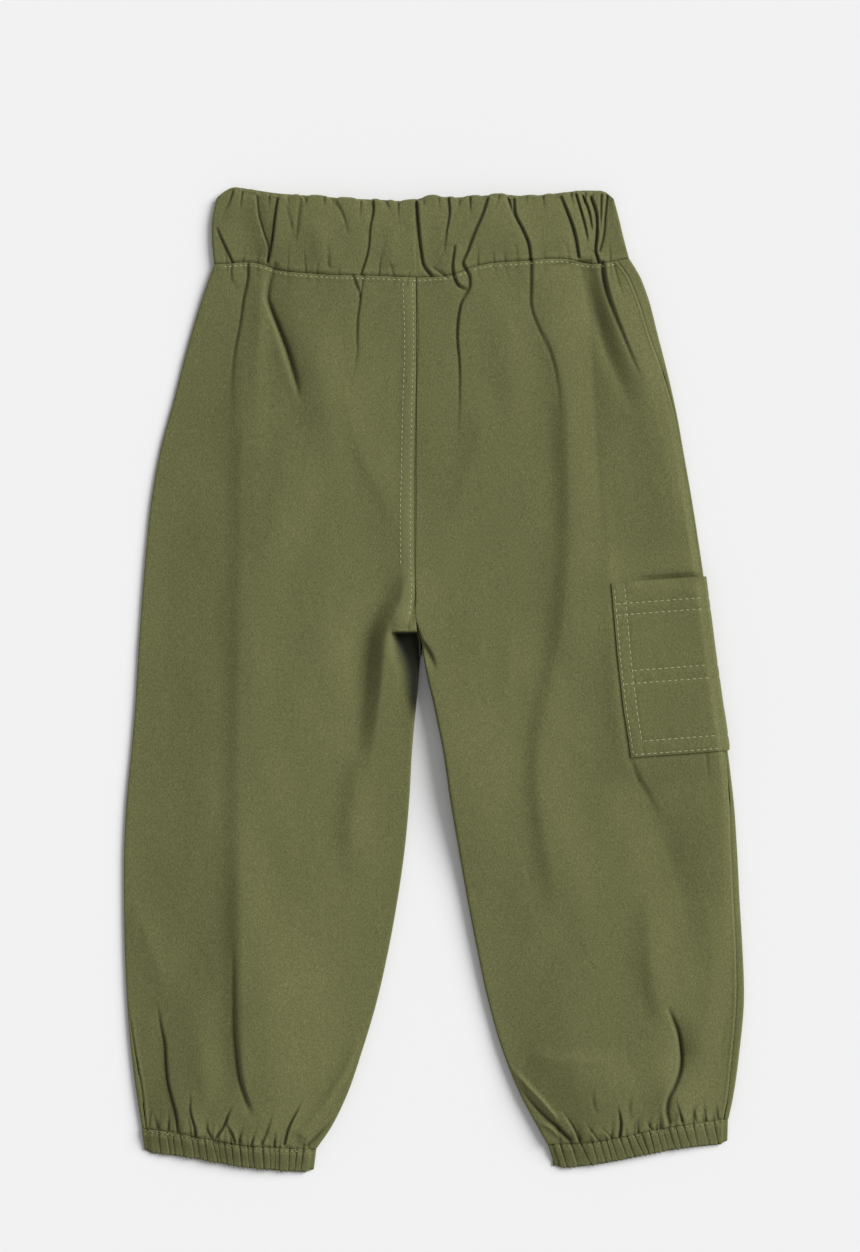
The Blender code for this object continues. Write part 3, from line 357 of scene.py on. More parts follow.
HEM_VALLEYS_LEFT = table(
    Valley,
    (-156.6, -155.8), (-151.0, -150.0), (-146.2, -144.8), (-143.2, -142.0), (-139.2, -137.6),
    (-132.8, -131.2), (-130.2, -128.2), (-125.4, -124.2), (-121.0, -118.4), (-118.2, -117.0),
    (-114.7, -113.2), (-110.8, -109.8), (-106.4, -105.4), (-102.0, -101.2), (-99.3, -98.4),
    (-93.8, -93.4), (-89.9, -89.6), (-87.0, -87.0), (-84.6, -85.0), (-78.9, -79.6), (-75.0, -76.4),
    (-71.4, -73.2),
)

HEM_VALLEYS_RIGHT = table(
    Valley,
    (69.4, 73.2), (75.4, 79.2), (80.4, 86.4), (86.8, 90.4), (91.0, 94.6), (94.6, 98.0), (97.4, 101.4),
    (102.0, 106.8), (105.8, 110.4), (109.8, 115.6), (113.6, 118.2), (118.2, 121.6), (122.4, 126.0),
    (125.4, 129.2), (128.6, 132.6), (132.6, 136.0), (136.8, 141.4), (142.2, 145.0), (148.0, 151.4),
    (153.6, 156.4),
)
PLEAT_HEIGHT = 0.9
HEM_RADIUS = 3.0
HEM_CLOTH = 0.9
HEM_CROWN = 2.8
HEM_RISE = 26.0
HEM_HALF_AT_SEAM = 1.8
HEM_HALF_AT_OPENING = 0.8
HEM_DEPTH = 14.0
HEM_CORNER = 1.4
HEM_CORNER_REACH = 5.0

# ================================================================ cargo pocket

POCKET_TOP_ROW = 56.3
POCKET_BOTTOM_ROW = -40.0
POCKET_HEIGHT = POCKET_TOP_ROW - POCKET_BOTTOM_ROW
POCKET_LIFT = 1.8
POCKET_CLOTH = 1.1
POCKET_STAND = 0.25
POCKET_RAMP = 20.0
POCKET_SIDE_RAMP = 32.0
POCKET_TILT = 0.075
TILT_CENTRE = 125.0
TILT_START = 60.0
TILT_RISE = 40.0
TILT_FADE = 70.0

PocketLine = namedtuple("PocketLine", "y reach")

POCKET_LINE = table(
    PocketLine,
    (-257, 32), (-160, 44), (POCKET_BOTTOM_ROW, 54.5), (POCKET_TOP_ROW, 52.3), (140, 47), (232, 40),
)

# ================================================================ curves and folds as functions


def ease(share):
    """Nought to one, level at both ends."""
    share = np.clip(share, 0.0, 1.0)
    return share * share * (3.0 - 2.0 * share)


def squarish(share):
    """What a cosine or a sine becomes when a round edge is pressed flatter: a tighter turn at the top."""
    return np.sqrt(np.clip(share, 0.0, 1.0))


def ramp(value, start, end):
    """Nought at start and one at end, level at both."""
    return ease((value - start) / (end - start))


def bell(distance, width):
    """One at nought, falling away to both sides."""
    return np.exp(-((distance / width) ** 2))


def grooves(distance, rows):
    """The grooves and ridges beside a seam, each with its place, its width and its height."""
    return sum(height * bell(distance - place, width) for place, width, height in rows)


def evenly(count):
    """So many shares from nought to one."""
    return np.linspace(0.0, 1.0, count)


def stacked(x, y, *z):
    """Coordinates as points."""
    return np.stack(np.broadcast_arrays(x, y, *z), axis=-1)


def through(places, values, at):
    """The smooth curve through values at rising places."""
    places = np.asarray(places, float)
    values = np.asarray(values, float)
    slopes = np.gradient(values, places)
    at = np.clip(at, places[0], places[-1])
    low = np.clip(np.searchsorted(places, at) - 1, 0, len(places) - 2)
    span = places[low + 1] - places[low]
    share = (at - places[low]) / span
    rest = 1.0 - share
    return (
        values[low] * rest * rest * (1.0 + 2.0 * share)
        + values[low + 1] * share * share * (1.0 + 2.0 * rest)
        + slopes[low] * span * share * rest * rest
        - slopes[low + 1] * span * share * share * rest
    )


def along(rows, column, at):
    """One column of a table, read smoothly at places in its first column."""
    rows = sorted(rows)
    return through([row[0] for row in rows], [getattr(row, column) for row in rows], at)


def run_of(line):
    """The running length along a line."""
    return np.concatenate([[0.0], np.cumsum(np.hypot(*np.diff(line, axis=0).T))])


def smooth_line(points, pieces=5):
    """A smooth line through a few points, its running length, and where along the points each place is."""
    points = np.asarray(points, float)
    run = run_of(points)
    if len(points) == 2:
        return points, run, np.arange(2.0)
    at = np.linspace(0.0, run[-1], pieces * (len(points) - 1) + 1)
    line = np.stack([through(run, points[:, axis], at) for axis in (0, 1)], axis=-1)
    return line, run_of(line), np.interp(at, run, range(len(run)))


def traced(folds):
    """The folds with their lines made smooth, and a height at each place."""
    traces = []
    for fold in folds:
        line, _, at = smooth_line(fold.line)
        heights = np.interp(at, range(len(fold.heights)), fold.heights)
        traces.append(fold._replace(line=line, heights=heights))
    return traces


# How fast the sharp part of a ridge and the slow part of a crease's wide side fall, and how large that slow
# part is. The narrow side of a crease takes up this share of its width. The shoulder beside it is wider than
# the wide side, and is at its full height where that side is wider by this many widths of the narrow one.
CREST_FALL = 2.0
SLOPE_FALL = 1.6
SLOPE_SHARE = 0.55
NARROW_SHARE = 0.47
SHOULDER_WIDENS = 1.3
SHOULDER_ADDS = 2.0
FULL_SHOULDER = 3.0
FOLD_REACH = 2.8


def profile(fold, gap, on_right):
    """How a fold's height changes with the distance from its line, as shares of its height."""
    far = gap / np.where(on_right, fold.right, fold.left)
    if fold.heights.min() >= 0.0 or fold.shoulder == 0.0:
        return (1.0 - fold.sharp) * bell(far, 1.0) + fold.sharp * np.exp(-CREST_FALL * far)
    wide, narrow = max(fold.left, fold.right), NARROW_SHARE * min(fold.left, fold.right)
    raised = fold.shoulder * min(1.0, (wide / narrow - 1.0) / FULL_SHOULDER)
    wall = bell(gap, narrow)
    standing = wall - raised * bell(gap, SHOULDER_WIDENS * wide + SHOULDER_ADDS)
    slope = np.exp(-SLOPE_FALL * gap / wide)
    coming_down = (1.0 - raised) * (wall + SLOPE_SHARE * (slope - wall))
    return np.where(on_right == (fold.right < fold.left), standing, coming_down)


def fold_height(traces, x, y):
    """What the folds add to the height at each place."""
    x, y = np.broadcast_arrays(x, y)
    height = np.zeros(x.shape)
    for fold in traces:
        reach = FOLD_REACH * max(fold.left, fold.right)
        low, high = fold.line.min(0) - reach, fold.line.max(0) + reach
        near = (x > low[0]) & (x < high[0]) & (y > low[1]) & (y < high[1])
        if not near.any():
            continue
        px, py = x[near], y[near]
        nearest = np.full(px.shape, np.inf)
        stand = np.zeros(px.shape)
        side = np.zeros(px.shape)
        for place in range(len(fold.line) - 1):
            start, end = fold.line[place], fold.line[place + 1]
            step = end - start
            length = np.hypot(*step)
            from_x, from_y = px - start[0], py - start[1]
            passed = (from_x * step[0] + from_y * step[1]) / length
            share = np.clip(passed / length, 0.0, 1.0)
            gap = np.hypot(from_x - share * step[0], from_y - share * step[1])
            closer = gap < nearest
            nearest = np.where(closer, gap, nearest)
            here = fold.heights[place] + (fold.heights[place + 1] - fold.heights[place]) * share
            if place == 0:
                here = here * ease(0.5 + passed / 2.0)
            if place == len(fold.line) - 2:
                here = here * ease(0.5 + (length - passed) / 2.0)
            stand = np.where(closer, here, stand)
            side = np.where(closer, step[0] * from_y - step[1] * from_x, side)
        height[near] += stand * profile(fold, nearest, side > 0.0)
    return height


def seeded_wrinkles(seed, low, high, count=90):
    """Faint short wrinkles, mostly along the leg, inside a box."""
    random = np.random.default_rng(seed)
    wrinkles = []
    for _ in range(count):
        middle = random.uniform(low, high)
        turn = -math.pi / 2.0 + random.normal(0.0, 0.45)
        half = random.uniform(4.0, 16.0)
        step = half * np.array([math.cos(turn), math.sin(turn)])
        bend = random.uniform(-0.25, 0.25) * half * np.array([-math.sin(turn), math.cos(turn)])
        height = random.choice([-1.0, 1.0]) * random.uniform(0.08, 0.26)
        left, right = random.uniform(1.6, 4.0), random.uniform(1.6, 4.0)
        line = [middle - step, middle + bend, middle + step]
        wrinkles.append(Fold(line, [0.0, height, 0.0], left, right, 0.2))
    return wrinkles


# Which way gathers run from their seam.
UP = 1.0
DOWN = -1.0


def gathers(seed, valleys, seam, away, longest, deepest, spread=1.6):
    """Short folds that run from a gathered seam into the cloth, one from each valley, with their greatest
    length and height."""
    random = np.random.default_rng(seed)
    folds = []
    for x in valleys:
        y = float(along(seam, "y", x))
        length = random.uniform(0.35, 1.0) * longest * away
        sway = random.uniform(-0.2, 0.2) * longest
        depth = random.uniform(0.5, 1.0) * deepest
        line = [(x, y), (x + 0.35 * sway, y + 0.5 * length), (x + sway, y + length)]
        heights = [-depth, -0.6 * depth, 0.0]
        if away > 0.0:
            line, heights = line[::-1], heights[::-1]
        left, right = random.uniform(0.8, 1.3) * spread, random.uniform(0.5, 0.9) * spread
        folds.append(Fold(line, heights, left, right))
    return folds


PINCH_PITCH = 3.1
PINCH_LENGTH = 5.0
PINCH_DEPTH = 0.75
PINCH_SPREAD = 0.9


def pinches(seed, start, end, seam, away):
    """The tiny tucks that close elastic stitching draws along a seam."""
    random = np.random.default_rng(seed)
    places = np.arange(start, end, PINCH_PITCH)
    places = places + random.uniform(-0.28, 0.28, len(places)) * PINCH_PITCH
    return gathers(seed + 1, places, seam, away, PINCH_LENGTH, PINCH_DEPTH, PINCH_SPREAD)


def swell(seed, x, y, size):
    """A slow, gentle unevenness of laid cloth, longer along the leg than across it."""
    random = np.random.default_rng(seed)
    height = np.zeros(np.broadcast(x, y).shape)
    for _ in range(12):
        across = 2.0 * math.pi / random.uniform(22.0, 60.0) * random.choice([-1.0, 1.0])
        along_leg = 2.0 * math.pi / random.uniform(60.0, 150.0)
        phase = random.uniform(0.0, 2.0 * math.pi)
        height = height + np.sin(across * x + along_leg * y + phase)
    return height * size / math.sqrt(12.0)


LEG_BOX_LEFT = ((-165.0, -240.0), (-12.0, 220.0))
LEG_BOX_RIGHT = ((5.0, -240.0), (160.0, 220.0))
WAIST_VALLEYS = [-114, -105, -97, -80, -70, -64, -52, -30, -22, -14, 24, 33, 39, 46, 61, 68, 74, 86, 97]
TOP_VALLEYS = [-104.8, -90, -80, -70, -60, -40, -26, -19.5, 3, 14.3, 20, 36, 51, 60, 75.3, 83.6, 87.2, 98]

LEG_FOLDS = traced(BAND_FOLDS + SEAT_FOLDS + HEM_FOLDS)
VALLEYS_LEFT = [valley.seam for valley in HEM_VALLEYS_LEFT]
VALLEYS_RIGHT = [valley.seam for valley in HEM_VALLEYS_RIGHT]
FINE_FOLDS = traced(
    seeded_wrinkles(11, *LEG_BOX_LEFT)
    + seeded_wrinkles(12, *LEG_BOX_RIGHT)
    + gathers(13, VALLEYS_LEFT, HEM_SEAM_LEFT, UP, longest=15.0, deepest=1.4)
    + gathers(14, VALLEYS_RIGHT, HEM_SEAM_RIGHT, UP, longest=15.0, deepest=1.4)
    + pinches(51, -158.0, -67.0, HEM_SEAM_LEFT, UP)
    + pinches(53, 65.0, 160.0, HEM_SEAM_RIGHT, UP)
    + gathers(15, WAIST_VALLEYS, WAIST_SEAM, DOWN, longest=13.0, deepest=0.9)
)
BAND_FINE_FOLDS = traced(
    gathers(16, WAIST_VALLEYS, WAIST_SEAM, UP, longest=16.0, deepest=0.9)
    + gathers(17, TOP_VALLEYS, BAND_TOP, DOWN, longest=15.0, deepest=1.6)
)
CROTCH_TRACES = traced(CROTCH_FOLDS)
BAND_AND_SEAT_FOLDS = traced(BAND_FOLDS + SEAT_FOLDS)

# Columns crowd towards folds narrower than this, by a share of their height up to the most, as far as the
# reach, and towards both ends of a row.
CROWDING_FOLD_WIDTH = 4.0
CROWDING_SHARE = 1.5
CROWDING_MOST = 3.0
CROWDING_REACH = 1.7
FOLD_PULL = 1.3
END_PULL_WIDTH = 0.035
BACK_END_PULL = 2.2
BAND_END_PULL = 1.6
SMOOTHED_ROWS = 9
FINE_COLUMNS = 500


def crowding(folds):
    """Where the folds ask for closer columns: the same lines, with a pull towards each."""
    pulls = []
    for fold in folds:
        if min(fold.left, fold.right) < CROWDING_FOLD_WIDTH:
            pull = np.minimum(CROWDING_SHARE * np.abs(fold.heights), CROWDING_MOST)
            pulls.append(Fold(fold.line, pull, CROWDING_REACH, CROWDING_REACH, sharp=0.0))
    return pulls


LEG_CROWDING = crowding(LEG_FOLDS + CROTCH_TRACES)
BAND_CROWDING = crowding(BAND_AND_SEAT_FOLDS + BAND_FINE_FOLDS)


def crowded(x, y, folds, count, ends):
    """Places from nought to one along each row of a fine grid, closer together where folds are sharp and, by
    their share, near both ends."""
    shares = evenly(x.shape[1])
    pull = 1.0 + FOLD_PULL * fold_height(folds, x, y)
    pull = pull + ends * (bell(shares, END_PULL_WIDTH) + bell(1.0 - shares, END_PULL_WIDTH))
    window = 2 * SMOOTHED_ROWS + 1
    smooth = np.pad(pull, ((SMOOTHED_ROWS, SMOOTHED_ROWS), (0, 0)), mode="edge").cumsum(0)
    smooth = np.concatenate([smooth[window - 1 : window], smooth[window:] - smooth[:-window]])
    total = np.cumsum(smooth, axis=1)
    total = (total - total[:, :1]) / (total[:, -1:] - total[:, :1])
    return np.stack([np.interp(evenly(count), row, shares) for row in total])


# The grooves and ridges that sewing leaves beside each seam: how far in each lies, how wide it is and how
# high. Those of the centre back lie beside its two rows of stitches.
SIDE_GROOVES = [(0.0, 0.5, -0.35), (1.3, 0.7, 0.3)]
WAIST_GROOVES = [(0.0, 0.5, -0.45), (1.8, 0.5, -0.2), (2.0, 1.2, 0.25)]
HEM_GROOVES = [(0.0, 0.7, -0.5)]
FELL_LEFT_GROOVES = [(0.0, 0.7, -0.25)]
FELL_RIGHT_GROOVES = [(0.0, 0.7, -0.25), (-2.0, 0.6, -0.4)]
UNDER_RIDGES = [(0.0, 1.0, 0.5)]
FELL_HEIGHT = 0.45
FELL_GROOVES_START = (CROTCH, CROTCH + 6.0)
SIDE_SEAM_SHOWS = (0.6, 1.6)
SWELL = 0.22
QUARTER = math.pi / 2.0


class Leg:
    """One leg and its half of the seat, as a section that changes along it."""

    def __init__(self, sections, hem_seam, outwards, has_pocket):
        self.sections = sections
        self.hem_seam = hem_seam
        self.outwards = outwards
        self.has_pocket = has_pocket

    def value(self, column, y):
        return along(self.sections, column, y)

    def closed(self, row):
        """One on the leg, whose inner edge is rounded, and nought above it, where that is the centre seam."""
        return ease((CROTCH + CROTCH_ROLL - row) / CROTCH_ROLL)

    def height_along(self, row, x):
        """Where a row lies at x: rows follow the waist seam, the pocket's slant and the hem seam."""
        waist = (along(WAIST_SEAM, "y", x) - WAIST_ROW) * ease(1.0 - (WAIST_ROW - row) / WAIST_SPREAD)
        hem = (along(self.hem_seam, "y", x) - HEM_ROW) * ease(1.0 - (row - HEM_ROW) / HEM_SPREAD)
        shift = waist + hem
        if self.has_pocket:
            middle = (POCKET_TOP_ROW + POCKET_BOTTOM_ROW) / 2.0
            near = ease(1.0 - (np.abs(row - middle) - POCKET_HEIGHT / 2.0) / TILT_FADE)
            shift = shift + POCKET_TILT * near * (x - TILT_CENTRE) * ease((x - TILT_START) / TILT_RISE)
        return row + shift

    def edges(self, row):
        """The x of both ends of a row."""
        ends = ("inner", "outer")
        return [self.value(end, self.height_along(row, self.value(end, row))) for end in ends]

    def lift(self, row, distance):
        """How far the hidden half of the pocket lifts the leg off the surface."""
        if not self.has_pocket:
            return np.zeros(np.broadcast(row, distance).shape)
        above = 1.0 - (row - POCKET_TOP_ROW) / POCKET_RAMP
        below = 1.0 - (POCKET_BOTTOM_ROW - row) / POCKET_RAMP
        inside = 1.0 - (distance - along(POCKET_LINE, "reach", row)) / POCKET_SIDE_RAMP
        return POCKET_LIFT * ease(above) * ease(below) * ease(inside)

    def crown(self, row, distance, width, x, y):
        """How far the top stands above its rounded edges."""
        from_inner = width - distance
        pressed = ease((CROTCH + CROTCH_ROLL - row) / INNER_PRESSED_OVER)
        rise_in = ease(from_inner / (CROWN_RISE * self.value("rise_in", row)))
        rise_out = ease(distance / (CROWN_RISE * self.value("rise_out", row)))
        rise = rise_out * (1.0 - pressed * (1.0 - rise_in))
        at_edge = ease(distance / FOLD_FADE)
        fade = at_edge * (1.0 - self.closed(row) * (1.0 - ease(from_inner / FOLD_FADE)))
        half = self.half_height(row, distance, width)
        height = (self.value("crown", row) + 2.0 * (self.value("edge", row) - half)) * rise
        height = height + (fold_height(LEG_FOLDS, x, y) + fold_height(FINE_FOLDS, x, y)) * fade
        height = height + swell(21, x, y, SWELL) * rise + fold_height(CROTCH_TRACES, x, y) * at_edge
        if self.outwards < 0.0:
            height = height + crotch_hollow(x, y)
        height = height + self.seams(row, x, y) + self.side_seam(row, distance)
        return np.maximum(height, LEAST_TOP - 2.0 * half)

    def half_height(self, row, distance, width):
        """Half the thickness of the pressed edges: less than the cloth's inside the leg, and more along the
        right leg's inner edge below the crotch, where the gathered seat holds it up."""
        edge = self.value("edge", row)
        inner = edge * EDGE_SHARE_INNER
        if self.has_pocket:
            outer = edge * EDGE_SHARE_RIGHT
            inner = inner + INNER_STAND * ramp(row, *INNER_RISES) * ramp(row, *INNER_SETTLES)
        else:
            outer = edge * (EDGE_SHARE + (EDGE_SHARE_AT_WAIST - EDGE_SHARE) * ramp(row, *EDGE_THICKENS))
        return outer + (inner - outer) * ease(distance / width)

    def side_seam(self, row, distance):
        """Where the side seam lies on top, a ditch along it and a pressed ridge inside it."""
        inset = self.value("seam", row)
        return grooves(distance - inset, SIDE_GROOVES) * ramp(inset, *SIDE_SEAM_SHOWS)

    def seams(self, row, x, y):
        """The ridges and grooves along the centre back, the waist and the hem."""
        from_left = grooves(x - along(FELL_LEFT, "x", y), FELL_LEFT_GROOVES)
        from_right = grooves(along(FELL_RIGHT, "x", y) - x, FELL_RIGHT_GROOVES)
        centre = FELL_HEIGHT * felled(x, y) + (from_left + from_right) * ramp(y, *FELL_GROOVES_START)
        return centre + grooves(WAIST_ROW - row, WAIST_GROOVES) + grooves(row - HEM_ROW, HEM_GROOVES)

    def section(self, row, reach, depth=0.0):
        """The parts of a place on the cloth: reach runs along the section from the outer edge, up over the
        top or, below nought, down and along the underside. Depth is measured into the cloth."""
        row, reach = np.broadcast_arrays(np.asarray(row, float), np.asarray(reach, float))
        inner, outer = self.edges(row)
        width = np.abs(outer - inner)
        radius = self.value("edge", row)
        turn = self.closed(row) * QUARTER
        straight = width - radius - radius * squarish(np.sin(turn))
        past_edge = np.abs(reach) - radius * QUARTER
        first = np.clip(np.abs(reach) / radius, 0.0, QUARTER)
        last = np.clip((past_edge - straight) / radius, 0.0, turn)
        flat = np.clip(past_edge, 0.0, straight)
        ahead = squarish(np.cos(first))
        behind = squarish(np.sin(last))
        up = squarish(np.sin(first)) * squarish(np.cos(last))
        distance = radius - (radius - depth) * ahead + flat + (radius - depth) * behind
        middle = radius * (1.0 - ahead) + flat + radius * behind
        x = outer - self.outwards * distance
        surface_x = outer - self.outwards * middle
        return x, surface_x, self.height_along(row, surface_x), middle, width, up

    def point(self, row, reach, depth=0.0):
        """A place on the cloth, in all three directions."""
        row, reach = np.broadcast_arrays(np.asarray(row, float), np.asarray(reach, float))
        x, surface_x, y, middle, width, up = self.section(row, reach, depth)
        half = self.half_height(row, middle, width)
        top = reach > 0.0
        crown = np.zeros(x.shape)
        crown[top] = self.crown(*(part[top] for part in (row, middle, width, surface_x, y)))
        z = self.lift(row, middle) + half + np.sign(reach) * (half - depth) * up + crown * up
        return stacked(x, y, z + (1.0 - top) * up * self.under_relief(row, surface_x, y))

    def place(self, row, reach):
        """A place on the cloth, seen from above."""
        x, _, y, *_ = self.section(row, reach)
        return stacked(x, y)

    def under_relief(self, row, x, y):
        """Shallow gathers in the underside, which never reach below the surface that it rests on."""
        seams = grooves(row - WAIST_ROW, UNDER_RIDGES) + grooves(row - HEM_ROW, UNDER_RIDGES)
        return np.maximum(fold_height(UNDER_FOLDS, x, y), 0.0) + seams

    def reach_of_seam(self, row):
        """The side seam's place along the section."""
        inset = self.value("seam", row)
        radius = self.value("edge", row)
        on_round = radius * np.arccos(np.clip(1.0 - inset / radius, 0.0, 1.0) ** 2)
        on_top = radius * QUARTER + inset - radius
        return np.where(inset < 0.0, inset, np.where(inset < radius, on_round, on_top))

    def whole_reach(self, row):
        """The length of the section from the outer edge to the inseam or the centre seam."""
        inner, outer = self.edges(row)
        turn = self.closed(row) * QUARTER
        rounds = QUARTER - 1.0 + turn - squarish(np.sin(turn))
        return np.abs(outer - inner) + self.value("edge", row) * rounds


# The two rows of stitches of the flat-felled centre-back seam: where each runs.
FellPlace = namedtuple("FellPlace", "y x")

FELL_LEFT = table(
    FellPlace,
    (28, -19.5), (45, -18.4), (65, -18.1), (90, -18.3), (110, -17.8), (150, -17.0), (185, -15.8),
    (222, -17.0),
)

FELL_RIGHT = table(
    FellPlace,
    (28, -14.2), (45, -12.2), (60, -12.5), (120, -12.5), (150, -12.0), (190, -10.9), (222, -11.7),
)
# How far outside the rows of stitches the strip starts to rise and is up, and where along them it starts.
FELL_LEFT_EDGE = (-1.4, 0.0)
FELL_RIGHT_EDGE = (-1.4, -0.4)
FELL_STARTS = (29.0, 34.0)


def felled(x, y):
    """One on the strip between the two rows of stitches beside the centre-back seam, and nought off it."""
    from_left = x - along(FELL_LEFT, "x", y)
    from_right = along(FELL_RIGHT, "x", y) - x
    return ramp(from_left, *FELL_LEFT_EDGE) * ramp(from_right, *FELL_RIGHT_EDGE) * ramp(y, *FELL_STARTS)


# The hollow's left side: where it starts to fall, and how far it takes to reach its depth.
HollowEdge = namedtuple("HollowEdge", "y x fall")

HOLLOW_EDGE = table(
    HollowEdge,
    (30, -23.0, 1.4), (22, -22.8, 5.0), (15, -22.4, 8.4), (4, -21.0, 10.4), (-6, -18.4, 8.4),
    (-15, -15.2, 5.0), (-26, -12.6, 3.0),
)
HOLLOW_TOP = 27.8
HOLLOW_DEPTH = 9.0
HOLLOW_FALLS = (0.0, 1.6)
HOLLOW_FADES = (35.0, 3.0)
LIP_HEIGHT = 1.3
LIP_STARTS = (-24.0, -19.0)
LIP_RISES = (-14.0, -4.0)
LIP_FALLS = (2.5, 0.5)
SHADE_FADES = (-26.0, -10.0)


def crotch_hollow(x, y):
    """The seat's lower edge laps over the leg below it: a ledge, then a hollow that fades down the leg."""
    below = HOLLOW_TOP - y
    across = ease((x - along(HOLLOW_EDGE, "x", y) + 1.0) / (along(HOLLOW_EDGE, "fall", y) + 1.5))
    hollow = -HOLLOW_DEPTH * across * ramp(below, *HOLLOW_FALLS) * ramp(below, *HOLLOW_FADES)
    lip = LIP_HEIGHT * ramp(x, *LIP_STARTS) * ramp(below, *LIP_FALLS) * ramp(below, *LIP_RISES)
    return hollow + lip


def crotch_shade(x, y):
    """One where the cloth goes in under the gathered crotch and no light reaches it."""
    across = ease((x - along(HOLLOW_EDGE, "x", y)) / along(HOLLOW_EDGE, "fall", y))
    return across * ramp(y, HOLLOW_TOP + 0.1, HOLLOW_TOP - 0.8) * ramp(y, *SHADE_FADES)


UNDER_FOLDS = traced(
    gathers(31, VALLEYS_LEFT, HEM_SEAM_LEFT, UP, longest=20.0, deepest=-0.9)
    + gathers(32, VALLEYS_RIGHT, HEM_SEAM_RIGHT, UP, longest=20.0, deepest=-0.9)
    + gathers(33, np.linspace(-112, 98, 19), WAIST_SEAM, DOWN, longest=22.0, deepest=-1.0)
)

LEFT = Leg(LEFT_LEG, HEM_SEAM_LEFT, outwards=-1.0, has_pocket=False)
RIGHT = Leg(RIGHT_LEG, HEM_SEAM_RIGHT, outwards=1.0, has_pocket=True)

# ================================================================ materials


class Number:
    """A value that changes over a surface, so that an expression on it adds its own Math nodes."""

    def __init__(self, finish, socket):
        self.finish = finish
        self.socket = socket

    def math(self, operation, *others):
        return self.finish.node("ShaderNodeMath", {"operation": operation}, [self, *others])

    def __add__(self, other):
        return self.math("ADD", other)

    def __sub__(self, other):
        return self.math("SUBTRACT", other)

    def __mul__(self, other):
        return self.math("MULTIPLY", other)

    def __rsub__(self, other):
        return self.finish.node("ShaderNodeMath", {"operation": "SUBTRACT"}, [other, self])

    __radd__ = __add__
    __rmul__ = __mul__


class Finish:
    """A material and its nodes."""

    def __init__(self, name, roughness, sheen=0.0):
        self.material = bpy.data.materials.new(name)
        self.material.use_nodes = True
        self.tree = self.material.node_tree
        self.shader = self.tree.nodes["Principled BSDF"]
        self.shader.inputs["Roughness"].default_value = roughness
        self.shader.inputs["Specular IOR Level"].default_value = 0.25
        self.shader.inputs["Sheen Weight"].default_value = sheen
        self.shader.inputs["Sheen Roughness"].default_value = 0.45
        self.shader.inputs["Sheen Tint"].default_value = (0.78, 0.8, 0.62, 1.0)

    def node(self, kind, settings=None, values=(), output=0):
        """Any node: its settings first, then the values or links of its sockets, in order or by name."""
        made = self.tree.nodes.new(kind)
        for name, setting in (settings or {}).items():
            if name == "stops":
                self.set_stops(made.color_ramp, setting)
            else:
                setattr(made, name, setting)
        named = values.items() if isinstance(values, dict) else enumerate(values)
        for name, value in named:
            if isinstance(value, Number):
                self.tree.links.new(value.socket, made.inputs[name])
            elif value is not None:
                made.inputs[name].default_value = value
        return Number(self, made.outputs[output])

    def set_stops(self, ramp, stops):
        while len(ramp.elements) < len(stops):
            ramp.elements.new(0.5)
        for element, (position, colour) in zip(ramp.elements, stops):
            element.position = position
            element.color = colour

    def coordinates(self, scale):
        """Object coordinates, stretched."""
        place = self.node("ShaderNodeTexCoord", output="Object")
        return self.node("ShaderNodeMapping", {}, {"Vector": place, "Scale": scale})

    def noise(self, scale, detail, stretch=(1.0, 1.0, 1.0)):
        """Noise with features of about one over scale metres, around nought."""
        settings = {"Scale": scale, "Detail": detail, "Roughness": 0.55, "Vector": self.coordinates(stretch)}
        return self.node("ShaderNodeTexNoise", {}, settings) - 0.5

    def attribute(self, name):
        return self.node("ShaderNodeAttribute", {"attribute_name": name}, output="Fac")

    def mix(self, share, first, second):
        sockets = {0: share, 6: first, 7: second}
        return self.node("ShaderNodeMix", {"data_type": "RGBA"}, sockets, output=2)

    def set(self, socket, value):
        self.tree.links.new(value.socket, self.shader.inputs[socket])


def linear(red, green, blue):
    """An sRGB colour of 0 to 255 as Blender's own linear one."""
    values = [value / 255.0 for value in (red, green, blue)]
    values = [v / 12.92 if v <= 0.04045 else ((v + 0.055) / 1.055) ** 2.4 for v in values]
    return (*values, 1.0)


CLOTH_MEAN = linear(100, 101, 62.5)
CLOTH_DARK = linear(71, 72, 39)
CLOTH_LIGHT = linear(131, 132, 89)
# What the marks on the cloth do to its colour: how strongly each shows, and the colour that it turns to.
# The first is painted shade in creases and on steep walls that face the light, the second wear together
# with painted highlight on fold crests, and the third a painted shadow under the crotch.
CLOTH_MARKS = [
    ("crease", 0.44, linear(44, 44, 24)),
    ("rubbed", 0.3, linear(116, 118, 80)),
    ("shade", 0.94, linear(9, 9, 7)),
]
YARNS_PER_METRE = 2300.0


